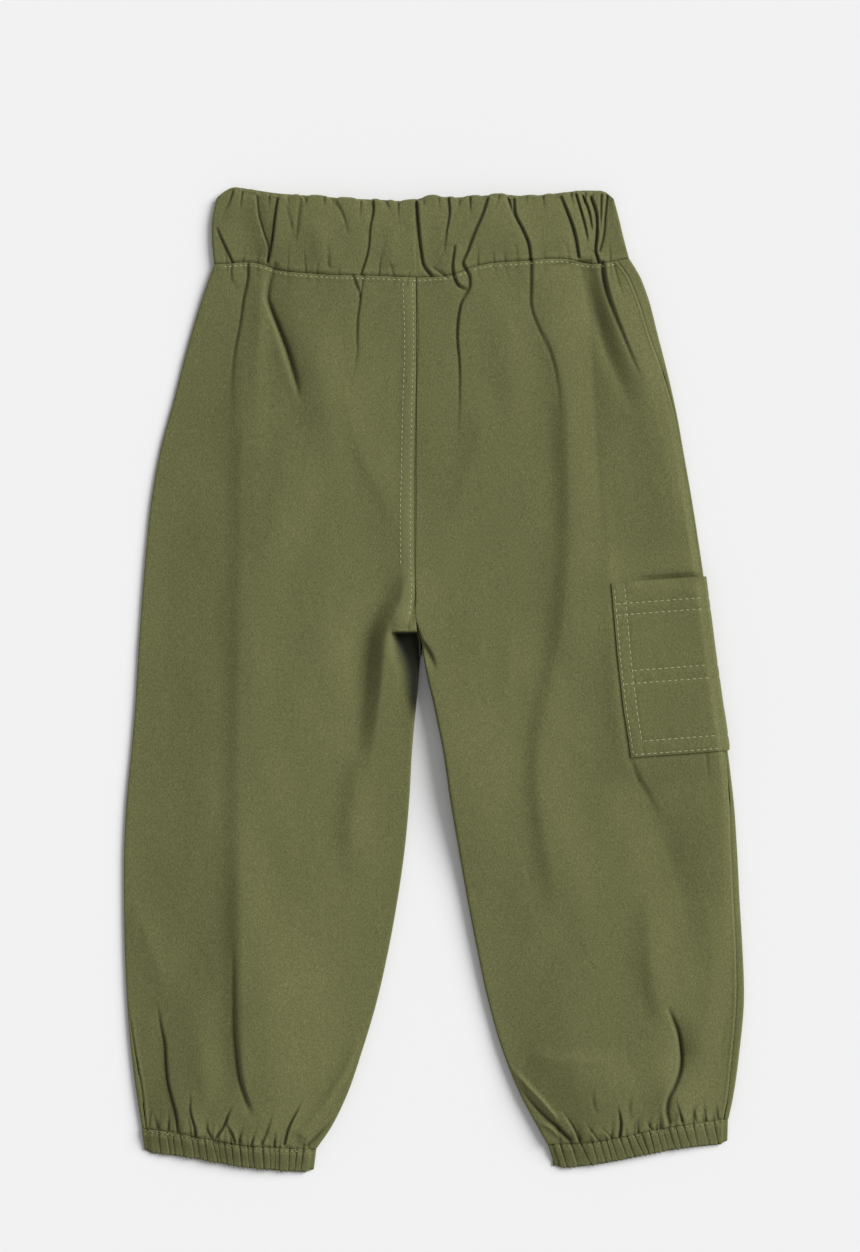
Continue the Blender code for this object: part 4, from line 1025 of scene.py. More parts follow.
def cloth_finish(name):
    """Matt olive cotton: a fine close weave, uneven yarns, faint cloudiness, painted shade in creases and
    under the crotch, and fold crests lightened partly by wear and partly by painted highlight.
    """
    finish = Finish(name, roughness=0.9, sheen=0.12)
    specks = finish.noise(2600.0, 1.0)
    slubs = finish.noise(1300.0, 2.0, (1.0, 0.5, 1.0))
    clouds = finish.noise(40.0, 3.0, (1.0, 0.4, 1.0))
    tone = specks * 0.78 + slubs * 0.4 + clouds * 0.14 + 0.5
    ramp_stops = [(0.2, CLOTH_DARK), (0.5, CLOTH_MEAN), (0.8, CLOTH_LIGHT)]
    base = finish.node("ShaderNodeValToRGB", {"stops": ramp_stops}, [tone])
    for mark, strength, colour in CLOTH_MARKS:
        base = finish.mix(finish.attribute(mark) * strength, base, colour)
    finish.set("Base Color", base)
    finish.set("Roughness", 0.88 + specks * 0.12)
    weave = finish.node("ShaderNodeUVMap", {"uv_map": "cloth"})
    over, up = (finish.node("ShaderNodeSeparateXYZ", {}, [weave], output=axis) for axis in (0, 1))
    half_turns = YARNS_PER_METRE * math.pi
    yarns = (over * half_turns).math("SINE") * (up * half_turns).math("SINE")
    height = yarns * 0.35 + specks * 1.2 + slubs * 0.8
    bump = finish.node("ShaderNodeBump", {}, {"Strength": 0.6, "Distance": 0.00012, "Height": height})
    finish.set("Normal", bump)
    return finish.material


def thread_finish(name, dark, light):
    """Spun polyester thread with a twist."""
    finish = Finish(name, roughness=0.62, sheen=0.1)
    twist = finish.noise(2600.0, 1.0)
    finish.set("Base Color", finish.mix(twist + 0.5, dark, light))
    finish.set("Roughness", 0.62 + twist * 0.2)
    return finish.material


OLIVE = cloth_finish("olive_cotton")
PALE_THREAD = thread_finish("pale_thread", linear(134, 137, 100), linear(172, 175, 136))
OLIVE_THREAD = thread_finish("olive_thread", linear(122, 125, 88), linear(154, 157, 118))

# ================================================================ shells


def linked(name, data):
    """A new object in the scene."""
    piece = bpy.data.objects.new(name, data)
    bpy.context.scene.collection.objects.link(piece)
    return piece


def as_mesh(name, shape):
    """A finished bmesh as a mesh."""
    mesh = bpy.data.meshes.new(name)
    shape.to_mesh(mesh)
    shape.free()
    return mesh


def make_piece(name, mesh, material, replaced=None):
    """A smooth piece that rides on the part's one body."""
    mesh.materials.append(material)
    mesh.polygons.foreach_set("use_smooth", [True] * len(mesh.polygons))
    piece = linked(name, mesh)
    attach(piece, "root")
    if replaced:
        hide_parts(replaced)
    return piece


MERGE_DISTANCE = 1e-6


def sheet_mesh(name, points, weave, marks, flip=False, wrapped=False):
    """A grid moved onto rows and columns of points, with the weave's coordinates and its marks: painted shade
    in creases, and wear with painted highlight on ridges. A wrapped one meets itself along both its sides and
    its ends."""
    rows, columns = points.shape[:2]
    shape = bmesh.new()
    bmesh.ops.create_grid(shape, x_segments=columns - 1, y_segments=rows - 1, size=1.0)
    mesh = as_mesh(name, shape)
    mesh.vertices.foreach_set("co", (points * MM).reshape(-1).astype(np.float32))
    places = np.empty(len(mesh.loops), np.int32)
    mesh.loops.foreach_get("vertex_index", places)
    layer = mesh.uv_layers.new(name="cloth")
    layer.data.foreach_set("uv", (weave * MM).reshape(-1, 2)[places].reshape(-1).astype(np.float32))
    for mark, values in marks.items():
        attribute = mesh.attributes.new(mark, "FLOAT", "POINT")
        attribute.data.foreach_set("value", values.reshape(-1).astype(np.float32))
    shape = bmesh.new()
    shape.from_mesh(mesh)
    for edge in shape.edges:
        edge.smooth = not edge.is_boundary
    if flip:
        bmesh.ops.reverse_faces(shape, faces=shape.faces[:])
    if wrapped:
        bmesh.ops.remove_doubles(shape, verts=shape.verts[:], dist=MERGE_DISTANCE)
    shape.to_mesh(mesh)
    shape.free()
    mesh.update()
    return mesh


# How much the cloth bends between a plain place and a whole crease, which gets full painted shade, or a
# whole ridge, which gets full wear and painted highlight, with columns this far apart; and how steep and how
# far from the ends a wall that faces the light must be to get painted shade, and how much it gets.
BEND_SHOWS = (0.06, 0.66)
BEND_SPACING = 0.75
WALL_STEEP = (0.4, 1.1)
WALL_FROM_END = (4.0, 7.0)
WALL_SHADE = 0.55
LEAST_STEP = 1e-4


def marks_of(points, worn=0.0):
    """Painted shade for how far into a crease each place lies, and wear with painted highlight for how proud
    it stands, from how the cloth bends across its columns. Steep walls that face the light get painted shade
    too, standing in for folds that lap over them."""
    x, height = points[..., 0], points[..., 2]
    step = np.gradient(x, axis=1)
    step = np.where(np.abs(step) < LEAST_STEP, LEAST_STEP, step)
    bend = blurred(height, rows=1, columns=1) - blurred(height, rows=1, columns=5)
    bend = bend / np.maximum(np.abs(step) / BEND_SPACING, 1.0) ** 2
    slope = np.gradient(height, axis=1) / step
    from_end = np.minimum(x - x.min(1, keepdims=True), x.max(1, keepdims=True) - x)
    under = ramp(-slope, *WALL_STEEP) * ramp(from_end, *WALL_FROM_END)
    # Painted shade in creases and on steep walls that face the light.
    crease_shade = np.maximum(ramp(-bend, *BEND_SHOWS), WALL_SHADE * under)
    return {"crease": crease_shade, "rubbed": np.maximum(ramp(bend, *BEND_SHOWS), worn)}


def blurred(height, rows, columns):
    """The mean over so many neighbours to each side."""
    padded = np.pad(height, ((rows, rows), (columns, columns)), mode="edge")
    total = np.pad(padded.cumsum(0).cumsum(1), ((1, 0), (1, 0)))
    tall, wide = 2 * rows + 1, 2 * columns + 1
    corners = total[tall:, wide:] - total[:-tall, wide:] - total[tall:, :-wide] + total[:-tall, :-wide]
    return corners / (tall * wide)


def thicken(piece, thickness):
    """A real thickness, measured inwards."""
    wall = piece.modifiers.new("wall", "SOLIDIFY")
    wall.thickness = thickness * MM
    wall.offset = -1.0
    return piece


def spread(shares, gathered):
    """Shares from nought to one, closer together at both ends."""
    return shares - gathered * np.sin(2.0 * math.pi * shares) / (2.0 * math.pi)


# Stretches of rows along a leg: where each ends, and how far apart its rows are.
RowZone = namedtuple("RowZone", "end spacing")

ROW_ZONES = table(
    RowZone,
    (222.0, 0.45), (190.0, 1.0), (60.0, 2.6), (34.0, 1.4), (22.0, 0.65), (0.0, 1.6), (-175.0, 2.8),
    (-240.0, 1.05), (HEM_ROW, 0.5),
)
BACK_COLUMNS = 164
FRONT_COLUMNS = 96


def leg_rows(coarseness):
    """The rows of a panel, from the hem seam to the waist seam, as a column."""
    rows = [WAIST_ROW - SEAM_GAP / 2.0]
    for zone in ROW_ZONES:
        count = max(2, round((rows[-1] - zone.end) / (zone.spacing * coarseness)))
        rows += list(np.linspace(rows[-1], zone.end, count + 1)[1:])
    rows[-1] += SEAM_GAP / 2.0
    return np.array(rows[::-1])[:, None]


def leg_panel(leg, name, over):
    """A back panel, over the top, or a front panel, round the outer edge and along the underside."""
    rows = leg_rows(1.0 if over else 2.0)
    start = leg.reach_of_seam(rows)
    end = leg.whole_reach(rows) - CENTRE_GAP / 2.0
    if over:
        start = start + SEAM_GAP / 2.0
        fine = leg.place(rows, start + (end - start) * evenly(FINE_COLUMNS))
        shares = crowded(fine[..., 0], fine[..., 1], LEG_CROWDING, BACK_COLUMNS, BACK_END_PULL)
        reach = start + (end - start) * shares
    else:
        shares = spread(evenly(FRONT_COLUMNS), gathered=0.6)
        reach = start - SEAM_GAP / 2.0 - (end + start - SEAM_GAP / 2.0) * shares
    points = leg.point(rows, reach)
    if not over:
        points[..., 0] -= leg.outwards * CENTRE_FRONT_CLOSE * shares**6 * ramp(rows, *FRONT_CLOSES)
    marks = marks_of(points, felled(points[..., 0], points[..., 1]) if over else 0.0)
    if over and leg is LEFT:
        marks["shade"] = crotch_shade(points[..., 0], points[..., 1])
    mesh = sheet_mesh(name, points, stacked(reach, rows), marks, flip=(leg is LEFT) != over)
    return thicken(make_piece(f"{name}_cloth", mesh, OLIVE, name), CLOTH)


PANELS = {
    "back_left": leg_panel(LEFT, "back_left", True),
    "back_right": leg_panel(RIGHT, "back_right", True),
    "front_left": leg_panel(LEFT, "front_left", False),
    "front_right": leg_panel(RIGHT, "front_right", False),
}

# ================================================================ waistband

BAND_TOP_COLUMNS = 230
BAND_UNDER_COLUMNS = 90
BAND_ROWS = 64
BAND_ROLL_ROWS = 10
BAND_INNER_ROWS = 6
BAND_HEIGHT = 42.0
BAND_START = SEAM_GAP / (2.0 * BAND_HEIGHT)
BAND_ROLL_SHARE = 0.965
BAND_GROOVES = [(0.0, 0.5, -0.5), (2.0, 1.4, 0.2)]
BAND_JOIN_GROOVES = [(0.0, 0.8, -0.4)]
BAND_JOIN_STARTS = (0.0, 0.3)
BAND_SWELL = 0.25
BAND_FADE = 5.0
BAND_DEEPEST = 2.4
BAND_TOP_FOLLOWS = 0.2
BAND_TOP_DEEPEST = 3.0
INSIDE_WEAVE = 3.0


def band_place(leg, reach, share, layer=0.0):
    """Where a place on the waistband lies, seen from above: share runs from the seam to the folded top edge,
    and layer from the outside of the wall to its inside."""
    row = np.full(reach.shape, WAIST_ROW + SEAM_GAP / 2.0)
    start = leg.edges(row)[1]
    outer = start + along(BAND, "right" if leg is RIGHT else "left", share)
    inwards = -leg.outwards * np.abs(outer - CENTRE_BACK) / np.abs(start - CENTRE_BACK)
    turn = np.clip(np.abs(reach) / BAND_RADIUS, 0.0, QUARTER)
    flat = np.maximum(np.abs(reach) - BAND_RADIUS * QUARTER, 0.0)
    ahead = squarish(np.cos(turn))
    distance = BAND_RADIUS * (1.0 - ahead) + flat
    x = outer + inwards * (BAND_RADIUS - (BAND_RADIUS - layer * BAND_CLOTH) * ahead + flat)
    surface_x = outer + inwards * distance
    seam = leg.height_along(row, start - leg.outwards * distance)
    y = seam + (along(BAND_TOP, "y", surface_x) - seam) * share
    return x, surface_x, y, distance, squarish(np.sin(turn))


def band_point(leg, reach, share, layer):
    """A place on the waistband, in all three directions."""
    x, surface_x, y, distance, up = band_place(leg, reach, share, layer)
    top = reach > 0.0
    folds = fold_height(BAND_AND_SEAT_FOLDS, surface_x, y) + fold_height(BAND_FINE_FOLDS, surface_x, y)
    fade = ease(distance / BAND_FADE)
    relief = (along(BAND, "crown", share) + 2.0 * (BAND_RADIUS - BAND_HALF)) * ease(distance / BAND_RISE)
    relief = relief + (folds + swell(23, x, y, BAND_SWELL)) * fade
    relief = relief + grooves(share * BAND_HEIGHT, BAND_GROOVES)
    join = grooves(surface_x - CENTRE_BACK, BAND_JOIN_GROOVES)
    relief = relief + join * ramp(share, *BAND_JOIN_STARTS)
    relief = np.maximum(relief, -BAND_DEEPEST)
    under = np.maximum(fold_height(BAND_UNDER_FOLDS, surface_x, y), 0.0) * fade
    relief = np.where(top, relief * (1.0 - BAND_PLAINNESS * layer), under * (1.0 - layer))
    notch = BAND_TOP_FOLLOWS * np.maximum(folds, -BAND_TOP_DEEPEST) * fade
    notch = fold_height(BAND_NOTCHES, surface_x, 0.0) + notch
    z = BAND_HALF + np.sign(reach) * (BAND_HALF - layer * BAND_CLOTH) * up + relief * up
    return stacked(x, y + share**5 * np.where(top, notch, 0.0), z)


# Where the folded top edge dips between two gathers, and by how much.
Dip = namedtuple("Dip", "x depth")

BAND_DIPS = table(
    Dip,
    (-104.0, 1.0), (-94.6, 1.5), (-89.4, 1.2), (-85.3, 1.3), (-79.0, 1.1), (-70.6, 1.9), (-55.2, 2.3),
    (-40.4, 1.0), (-36.2, 1.5), (-27.2, 1.4), (-19.5, 1.2), (-7.6, 1.0), (5.2, 0.9), (14.3, 1.9),
    (28.2, 1.5), (42.2, 1.4), (46.4, 1.0), (58.6, 0.9), (67.7, 1.3), (74.8, 0.9), (82.8, 1.2),
    (87.6, 0.9),
)
BAND_NOTCHES = traced(
    [Fold([(dip.x, 1.0), (dip.x, -1.0)], [-1.5 * dip.depth] * 2, 2.6, 2.6, 0.6, 0.0) for dip in BAND_DIPS]
)
BAND_UNDER_FOLDS = traced(
    gathers(34, np.linspace(-112, 98, 17), WAIST_SEAM, UP, longest=34.0, deepest=-1.2)
    + gathers(35, np.linspace(-108, 92, 21), BAND_TOP, DOWN, longest=30.0, deepest=-1.1)
)


def band_loop(outer_shares):
    """The places round the waistband, one row for each share: along the back, round the right edge, and back
    along the front. Columns on the back stand closer together at folds."""
    under = spread(evenly(BAND_UNDER_COLUMNS), gathered=0.5)[None, 1:] * np.ones((len(outer_shares), 1))
    fine = evenly(FINE_COLUMNS)[None, :]
    wholes = []
    overs = []
    for leg in (LEFT, RIGHT):
        whole = leg.whole_reach(np.array([WAIST_ROW]))[0]
        _, x, y, *_ = band_place(leg, *np.broadcast_arrays(whole * fine, outer_shares[:, None]))
        wholes.append(whole)
        overs.append(whole * crowded(x, y, BAND_CROWDING, BAND_TOP_COLUMNS, BAND_END_PULL))
    left, right = wholes
    return [
        (LEFT, overs[0]),
        (RIGHT, overs[1][:, -2::-1]),
        (RIGHT, -right * under),
        (LEFT, -left * (1.0 - under)),
    ]


def wall_levels(shares, edge, turns, inside_rows):
    """The rows of a folded wall: up its outside, round its folded edge, down its inside and back to the
    start. They come as two columns: the share of the height, and the layer from outside to inside."""
    levels = [(share, 0.0) for share in shares]
    for turn in np.linspace(0.0, math.pi, turns + 2)[1:-1]:
        levels.append((edge + (1.0 - edge) * math.sin(turn), 0.5 - 0.5 * math.cos(turn)))
    levels += [(share, 1.0) for share in np.linspace(edge, shares[0], inside_rows)]
    levels.append(levels[0])
    return np.array(levels).T[:, :, None]


def waistband():
    """One wall all the way round, folded over at its top."""
    shares = np.linspace(BAND_START, BAND_ROLL_SHARE, BAND_ROWS)
    share, layer = wall_levels(shares, BAND_ROLL_SHARE, BAND_ROLL_ROWS, BAND_INNER_ROWS)
    grids = []
    for leg, reach in band_loop(shares):
        reach = np.stack([np.interp(share[:, 0], shares, column) for column in reach.T], axis=1)
        grids.append(band_point(leg, *np.broadcast_arrays(reach, share, layer)))
    points = np.concatenate(grids, axis=1)
    over = np.stack([run_of(row) for row in points[:, :, [0, 2]]])
    weave = stacked(over, share * BAND_HEIGHT + layer * INSIDE_WEAVE)
    mesh = sheet_mesh("waistband", points, weave, marks_of(points), wrapped=True)
    return make_piece("waistband_cloth", mesh, OLIVE, "waistband")


PANELS["waistband"] = waistband()

# ================================================================ elastic hems

Hem = namedtuple("Hem", "leg name left right opening_left opening_right depth valleys seed")

HEMS = [
    Hem(LEFT, "hem_left", -160.2, -64.3, -158.9, -65.8, 13.2, HEM_VALLEYS_LEFT, 41),
    Hem(RIGHT, "hem_right", 62.6, 161.8, 66.8, 161.6, 13.9, HEM_VALLEYS_RIGHT, 42),
]
HEM_COLUMNS_A_PLEAT = 11
HEM_ARC_COLUMNS = 8
HEM_UNDER_COLUMNS = 90
HEM_ROWS = 30
HEM_ROLL_ROWS = 6
HEM_INNER_ROWS = 4
HEM_ROLL_SHARE = 0.9
HEM_WALL_GROOVES = [(0.0, 0.7, -0.55), (2.0, 0.8, -0.4)]
HEM_SCALLOP = 0.46
HEM_SCALLOP_PITCH = 2.6
HEM_PLEAT_NOTCH = 0.8
PLEAT_FULL_WIDTH = 4.0
PLEAT_SQUARENESS = 9.0
PLEAT_BELLY = 0.25
HEM_FLATTENS = 0.55
UNDER_PLEATS = 15.0


def round_edge(at_seam, at_opening, inwards, turns):
    """The columns round one pressed edge of a hem."""
    places = []
    for turn in turns:
        sideways = float(squarish(math.cos(turn)))
        up = math.copysign(float(squarish(abs(math.sin(turn)))), turn)
        inset = inwards * HEM_RADIUS * (1.0 - sideways)
        places.append((at_seam + inset, at_opening + inset, up, inwards * sideways, 0.0, 0.0))
    return places


def hem_places(hem):
    """Places round an elastic hem as columns: x at the seam and at the opening, height up the round edge,
    inwards turn, how far the pleat stands, and how deep the underside's pleats are."""
    random = np.random.default_rng(hem.seed)
    turns = np.linspace(-QUARTER, QUARTER, 2 * HEM_ARC_COLUMNS + 1)
    places = round_edge(hem.left, hem.opening_left, 1.0, turns[:-1])
    lines = [Valley(hem.left + HEM_RADIUS, hem.opening_left + HEM_RADIUS)] + hem.valleys
    lines.append(Valley(hem.right - HEM_RADIUS, hem.opening_right - HEM_RADIUS))
    for first, second in zip(lines, lines[1:]):
        stand = random.uniform(0.5, 1.1) * min(1.0, (second.seam - first.seam) / PLEAT_FULL_WIDTH)
        lean = random.uniform(0.8, 1.5)
        for share in spread(np.arange(HEM_COLUMNS_A_PLEAT) / HEM_COLUMNS_A_PLEAT, gathered=0.85):
            at_seam = first.seam + (second.seam - first.seam) * share
            at_opening = first.opening + (second.opening - first.opening) * share
            rounded = stand * (1.0 - abs(2.0 * share**lean - 1.0) ** PLEAT_SQUARENESS)
            places.append((at_seam, at_opening, 1.0, 0.0, rounded, 0.0))
    places += round_edge(hem.right, hem.opening_right, -1.0, turns[::-1])
    for share in np.arange(1, HEM_UNDER_COLUMNS + 1) / HEM_UNDER_COLUMNS:
        at_seam = hem.right - HEM_RADIUS + (hem.left - hem.right + 2.0 * HEM_RADIUS) * share
        recess = (0.5 - 0.5 * math.cos(2.0 * math.pi * UNDER_PLEATS * share)) ** 3
        places.append((at_seam, at_seam, -1.0, 0.0, 0.0, recess))
    return np.array(places).T


def elastic_hem(hem):
    """One wall all the way round, gathered at its seam and folded over at its opening."""
    at_seam, at_opening, up, sideways, pleat, recess = hem_places(hem)
    shares = np.linspace(0.0, HEM_ROLL_SHARE, HEM_ROWS)
    share, layer = wall_levels(shares, HEM_ROLL_SHARE, HEM_ROLL_ROWS, HEM_INNER_ROWS)
    x = at_seam + (at_opening - at_seam) * share
    left = hem.left + (hem.opening_left - hem.left) * share
    right = hem.right + (hem.opening_right - hem.right) * share
    from_edge = np.maximum(np.minimum(x - left, right - x), 0.0)
    depth = hem.depth - HEM_CORNER * (1.0 - ease(from_edge / HEM_CORNER_REACH))
    y = along(hem.leg.hem_seam, "y", x) - SEAM_GAP / 2.0 - share * depth
    belly = 1.0 + PLEAT_BELLY * np.sin(math.pi * np.clip(share, 0.0, 1.0))
    relief = HEM_CROWN * ease(from_edge / HEM_RISE) + PLEAT_HEIGHT * pleat * belly
    relief = relief * (1.0 - HEM_FLATTENS * ease(share)) + fold_height(HEM_TUCKS, x, y)
    relief = relief + grooves(share * HEM_DEPTH, HEM_WALL_GROOVES)
    on_top = np.maximum(up, 0.0)
    relief = (relief * on_top + recess * np.maximum(-up, 0.0)) * (1.0 - layer)
    half = HEM_HALF_AT_SEAM + (HEM_HALF_AT_OPENING - HEM_HALF_AT_SEAM) * ease(share)
    z = half + (half - layer * HEM_CLOTH) * up + relief
    scallop = HEM_SCALLOP * np.sin(2.0 * math.pi * x / HEM_SCALLOP_PITCH)
    y = y + share**4 * (HEM_PLEAT_NOTCH * (1.0 - pleat) + scallop) * on_top
    points = stacked(x + layer * HEM_CLOTH * sideways, y, z)
    weave = stacked(run_of(points[0][:, [0, 2]])[None, :], share * HEM_DEPTH + layer * INSIDE_WEAVE)
    mesh = sheet_mesh(hem.name, points, weave, marks_of(points), flip=True, wrapped=True)
    return make_piece(f"{hem.name}_cloth", mesh, OLIVE, hem.name)


HEM_TUCKS = traced(
    pinches(61, -157.0, -68.0, HEM_SEAM_LEFT, DOWN) + pinches(63, 66.0, 158.0, HEM_SEAM_RIGHT, DOWN)
)

for hem in HEMS:
    PANELS[hem.name] = elastic_hem(hem)

# ================================================================ cargo pocket

POCKET_ROWS = 100
POCKET_COLUMNS = 110
POCKET_ROLL = 1.2
POCKET_LEAST_HEIGHT = 0.02
# Shares of the pocket's thickness: its edge, what the rolled edge adds, its swelling and its dips.
EDGE_STANDS = 0.55
ROLL_ADDS = 0.45
PUFF = 0.12
STITCH_DIP = 0.22
STITCH_DIP_WIDTH = 0.9
# Rows of stitches on the pocket, measured up from its bottom edge, and in from its side edges.
POCKET_SEAM_ROWS = (1.4, 8.6, 40.5, 47.5, 78.5, 84.6)
POCKET_SIDE_STITCHES = (1.3, 7.0)


def cargo_pocket():
    """The patch that wraps round the side edge: folded edges, and cloth that puffs between its stitches."""
    length = POCKET_HEIGHT * spread(evenly(POCKET_ROWS), gathered=0.4)[:, None]
    across = spread(evenly(POCKET_COLUMNS), gathered=0.3)[None, :]
    rows = POCKET_BOTTOM_ROW + length
    side = along(POCKET_LINE, "reach", rows)
    reach = side - 2.0 * side * across
    base = RIGHT.point(rows, reach, -POCKET_STAND)
    step = RIGHT.point(rows, reach, -POCKET_STAND - POCKET_CLOTH) - base
    from_side = side - np.abs(reach)
    rolled = ease(np.minimum(from_side, length) / POCKET_ROLL)
    points = base + step * (EDGE_STANDS + ROLL_ADDS * rolled + pocket_puff(length, from_side))[..., None]
    points[..., 2] = np.maximum(points[..., 2], POCKET_LEAST_HEIGHT)
    mesh = sheet_mesh("cargo_pocket", points, stacked(reach, rows), marks_of(points))
    return thicken(make_piece("cargo_pocket_cloth", mesh, OLIVE, "cargo_pocket"), POCKET_CLOTH * 0.6)


def pocket_puff(length, from_side):
    """Dips along the stitched rows and the swelling between them, as shares of the pocket's thickness."""
    dip = sum(bell(length - place, STITCH_DIP_WIDTH) for place in POCKET_SEAM_ROWS)
    dip = dip + sum(bell(from_side - place, STITCH_DIP_WIDTH) for place in POCKET_SIDE_STITCHES)
    return PUFF - STITCH_DIP * dip


PANELS["cargo_pocket"] = cargo_pocket()

# ================================================================ stitches

THREAD_RADIUS = 0.3
THREAD_WIDENS = 1.15
THREAD_SINKS = 0.06
LONGEST_HALF_STITCH = 0.7
FIRST_STITCH = 0.4
RAY_HEIGHT = 60.0
HEM_STITCHES_INSET = 2.2


def tree_of(pieces):
    """The cloth that stitches lie on, for finding its height."""
    shape = bmesh.new()
    for piece in pieces:
        shape.from_mesh(piece.data)
    tree = BVHTree.FromBMesh(shape)
    shape.free()
    return tree


CLOTH_TREE = tree_of(PANELS.values())


def surface_at(x, y, above):
    """Where the cloth lies at a place, seen from above or from below, and which way it faces."""
    up = 1.0 if above else -1.0
    start = Vector((x, y, up * RAY_HEIGHT)) * MM
    hit, normal, *_ = CLOTH_TREE.ray_cast(start, Vector((0.0, 0.0, -up)))
    if hit is None:
        return None
    return hit, normal if normal.z * up > 0.0 else -normal


# One row of stitches: its line, which side of the garment it is on, how long a stitch is and how far apart.
Row = namedtuple("Row", "line above stitch pitch")


def stitch_row(row):
    """Lockstitches along a line: short capsules of thread pressed into the cloth, as a mesh."""
    line, run, _ = smooth_line(row.line, pieces=12)
    shape = bmesh.new()
    for number in range(int(run[-1] / row.pitch)):
        start = number * row.pitch + FIRST_STITCH
        found = [
            surface_at(np.interp(at, run, line[:, 0]), np.interp(at, run, line[:, 1]), row.above)
            for at in (start, start + row.stitch)
        ]
        if None in found:
            continue
        (first, up_first), (second, up_second) = found
        normal = (up_first + up_second).normalized()
        middle = (first + second) / 2.0 - normal * THREAD_SINKS * MM
        ahead = (second - first).normalized()
        side = normal.cross(ahead).normalized()
        turn = Matrix((ahead, side, ahead.cross(side))).transposed().to_4x4()
        half = min((second - first).length / 2.0, LONGEST_HALF_STITCH * row.stitch * MM)
        size = Matrix.Diagonal((half, THREAD_RADIUS * MM * THREAD_WIDENS, THREAD_RADIUS * MM, 1.0))
        place = Matrix.Translation(middle) @ turn @ size @ Matrix.Rotation(QUARTER, 4, "Y")
        bmesh.ops.create_uvsphere(shape, u_segments=6, v_segments=5, radius=1.0, matrix=place)
    bmesh.ops.recalc_face_normals(shape, faces=shape.faces[:])
    return as_mesh("row", shape)


def stitches(name, rows, thread):
    """One joined mesh of thread for each seam."""
    shape = bmesh.new()
    for row in rows:
        mesh = stitch_row(row)
        shape.from_mesh(mesh)
        bpy.data.meshes.remove(mesh)
    make_piece(name, as_mesh(name, shape), thread)


def rows_below(seam, first, last, count, drop, stitch, pitch):
    """The rows of stitches below a seam, one on top and one underneath."""
    line = [(x, float(along(seam, "y", x)) - drop) for x in np.linspace(first, last, count)]
    return [Row(line, above, stitch, pitch) for above in (True, False)]


FELL_STITCHES_TOP = 219.0
FELL_STITCHES_LEFT_END = 64.0
FELL_STITCHES_RIGHT_END = 34.0


def centre_back_rows():
    """The two rows of the flat-felled seam, from the waist to the crotch."""
    rows = []
    for edge, last in ((FELL_LEFT, FELL_STITCHES_LEFT_END), (FELL_RIGHT, FELL_STITCHES_RIGHT_END)):
        line = [(float(along(edge, "x", y)), y) for y in np.linspace(FELL_STITCHES_TOP, last, 14)]
        rows.append(Row(line, above=True, stitch=1.9, pitch=3.1))
    return rows


def pocket_line(length, from_side, hidden):
    """A row of stitches over the pocket, measured up from its bottom edge and in from a side edge."""
    length, from_side = np.broadcast_arrays(length, from_side)
    row = POCKET_BOTTOM_ROW + length
    reach = along(POCKET_LINE, "reach", row) - from_side
    line = RIGHT.place(row, -reach if hidden else reach)
    return Row(line, above=not hidden, stitch=2.3, pitch=3.4)


# The side rows stop short of the pocket's top, or pass it where it shows, and those across stop at a place
# in from its side.
SIDE_ROW_STOPS = 0.8
SIDE_ROW_PASSES = 4.0
CROSS_ROW_ENDS = 50.5


def pocket_rows(hidden):
    """The rows on one half of the pocket: two along its side, and those across it."""
    outer, inner = POCKET_SIDE_STITCHES
    top = POCKET_HEIGHT if hidden else POCKET_HEIGHT + SIDE_ROW_PASSES
    rows = []
    short = POCKET_HEIGHT - SIDE_ROW_STOPS
    sides = ((outer, POCKET_SEAM_ROWS[0], short), (inner, POCKET_SEAM_ROWS[1], top))
    for from_side, low, high in sides:
        rows.append(pocket_line(np.linspace(low, high, 12), from_side, hidden))
    for length, start in zip(POCKET_SEAM_ROWS, (outer, inner, outer, inner, outer, outer)):
        rows.append(pocket_line(length, np.linspace(start, CROSS_ROW_ENDS, 12), hidden))
    return rows


stitches("centre_back_stitches", centre_back_rows(), PALE_THREAD)
rows = rows_below(WAIST_SEAM, first=-115.5, last=101.0, count=40, drop=1.8, stitch=1.5, pitch=2.83)
stitches("waist_stitches", rows, PALE_THREAD)
for hem in HEMS:
    first, last = hem.left + HEM_STITCHES_INSET, hem.right - HEM_STITCHES_INSET
    rows = rows_below(hem.leg.hem_seam, first, last, count=20, drop=1.6, stitch=1.4, pitch=2.75)
    stitches(f"{hem.name}_stitches", rows, OLIVE_THREAD)
stitches("pocket_stitches", pocket_rows(False) + pocket_rows(True), PALE_THREAD)

# ================================================================ sheets

# One row for each sheet: its flat width and length, how it is held, what it rests on and its area, in metres.
Sheet = namedtuple("Sheet", "name width length held rests_on area")

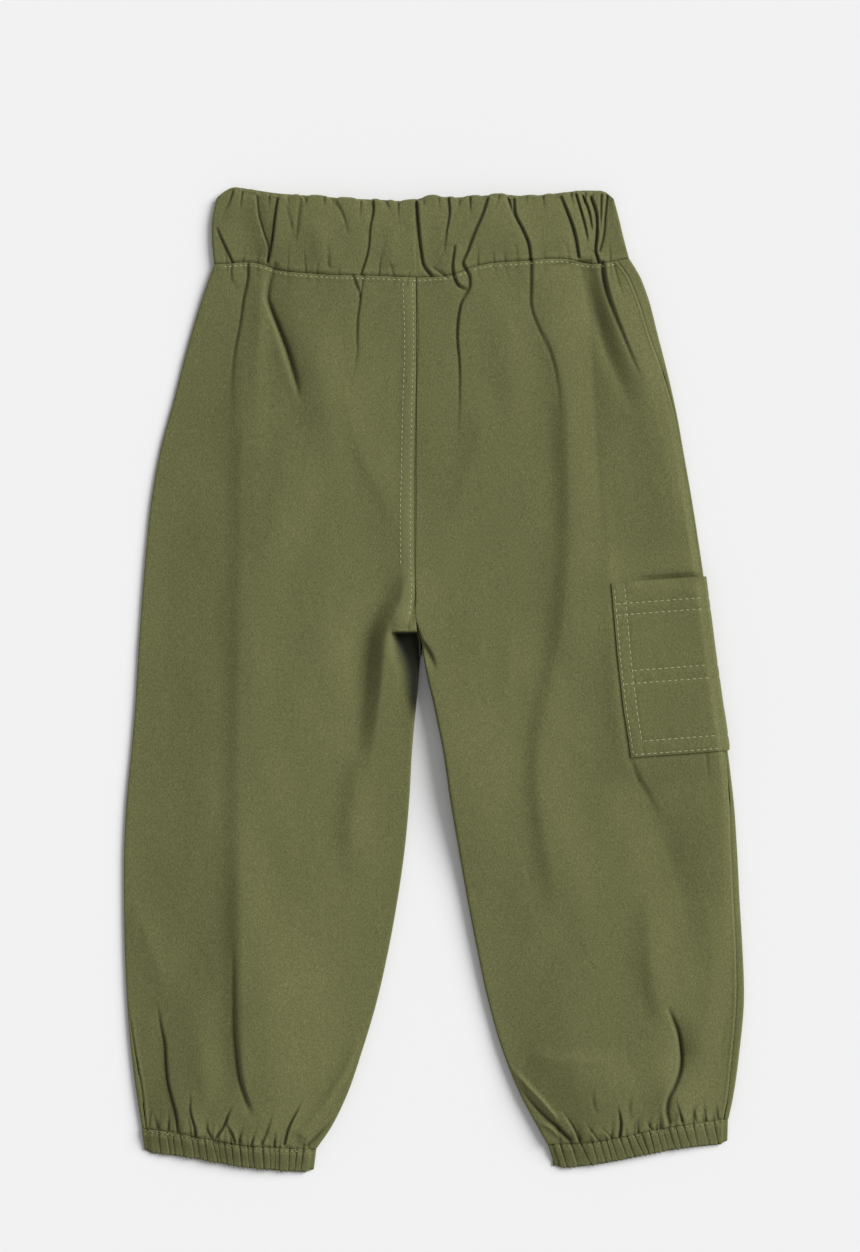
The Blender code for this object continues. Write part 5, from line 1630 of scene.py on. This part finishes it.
SHEETS = table(
    Sheet,
    ("back_left", 0.235, 0.50, "laid", ["front_left"], 0.080),
    ("back_right", 0.235, 0.50, "laid", ["front_right"], 0.080),
    ("front_left", 0.22, 0.49, "laid", [], 0.078),
    ("front_right", 0.22, 0.49, "laid", ["cargo_pocket"], 0.078),
    ("waistband", 0.60, 0.045, "gathered", [], None),
    ("hem_left", 0.26, 0.014, "gathered", [], None),
    ("hem_right", 0.26, 0.014, "gathered", [], None),
    ("cargo_pocket", 0.106, 0.097, "laid", ["back_right"], None),
)

# ================================================================ floor, light and camera

MM_PER_PIXEL = 0.55
FRAME_LONG_SIDE = 1252
LENS = 100.0
SENSOR = 36.0
CAMERA_X = -1.9
CAMERA_Y = 30.8
FLOOR_HEIGHT = -0.4


def floor():
    shape = bmesh.new()
    bmesh.ops.create_grid(shape, x_segments=4, y_segments=4, size=3.0)
    mesh = as_mesh("floor", shape)
    finish = Finish("paper", roughness=0.95)
    finish.shader.inputs["Base Color"].default_value = (0.88, 0.88, 0.885, 1.0)
    mesh.materials.append(finish.material)
    piece = linked("floor", mesh)
    piece.location.z = FLOOR_HEIGHT * MM


def sun(azimuth, elevation, softness, power):
    """A broad, soft daylight from one side."""
    data = bpy.data.lights.new("daylight", "SUN")
    data.angle = math.radians(softness)
    data.energy = power
    turn, rise = math.radians(azimuth), math.radians(elevation)
    towards = Vector((math.cos(turn) * math.cos(rise), math.sin(turn) * math.cos(rise), math.sin(rise)))
    linked("daylight", data).rotation_euler = (-towards).to_track_quat("-Z", "Y").to_euler()


def camera():
    data = bpy.data.cameras.new("camera")
    data.lens = LENS
    data.sensor_width = SENSOR
    data.clip_start = 0.01
    piece = linked("camera", data)
    height = FRAME_LONG_SIDE * MM_PER_PIXEL * LENS / SENSOR
    piece.location = (CAMERA_X * MM, CAMERA_Y * MM, height * MM)
    bpy.context.scene.camera = piece


def studio():
    world = bpy.data.worlds.new("studio")
    world.use_nodes = True
    world.node_tree.nodes["Background"].inputs["Color"].default_value = (1.0, 1.0, 1.0, 1.0)
    world.node_tree.nodes["Background"].inputs["Strength"].default_value = 0.36
    bpy.context.scene.world = world
    sun(azimuth=32.0, elevation=34.0, softness=40.0, power=3.62)
    bpy.context.scene.view_settings.view_transform = "Standard"


floor()
studio()
camera()
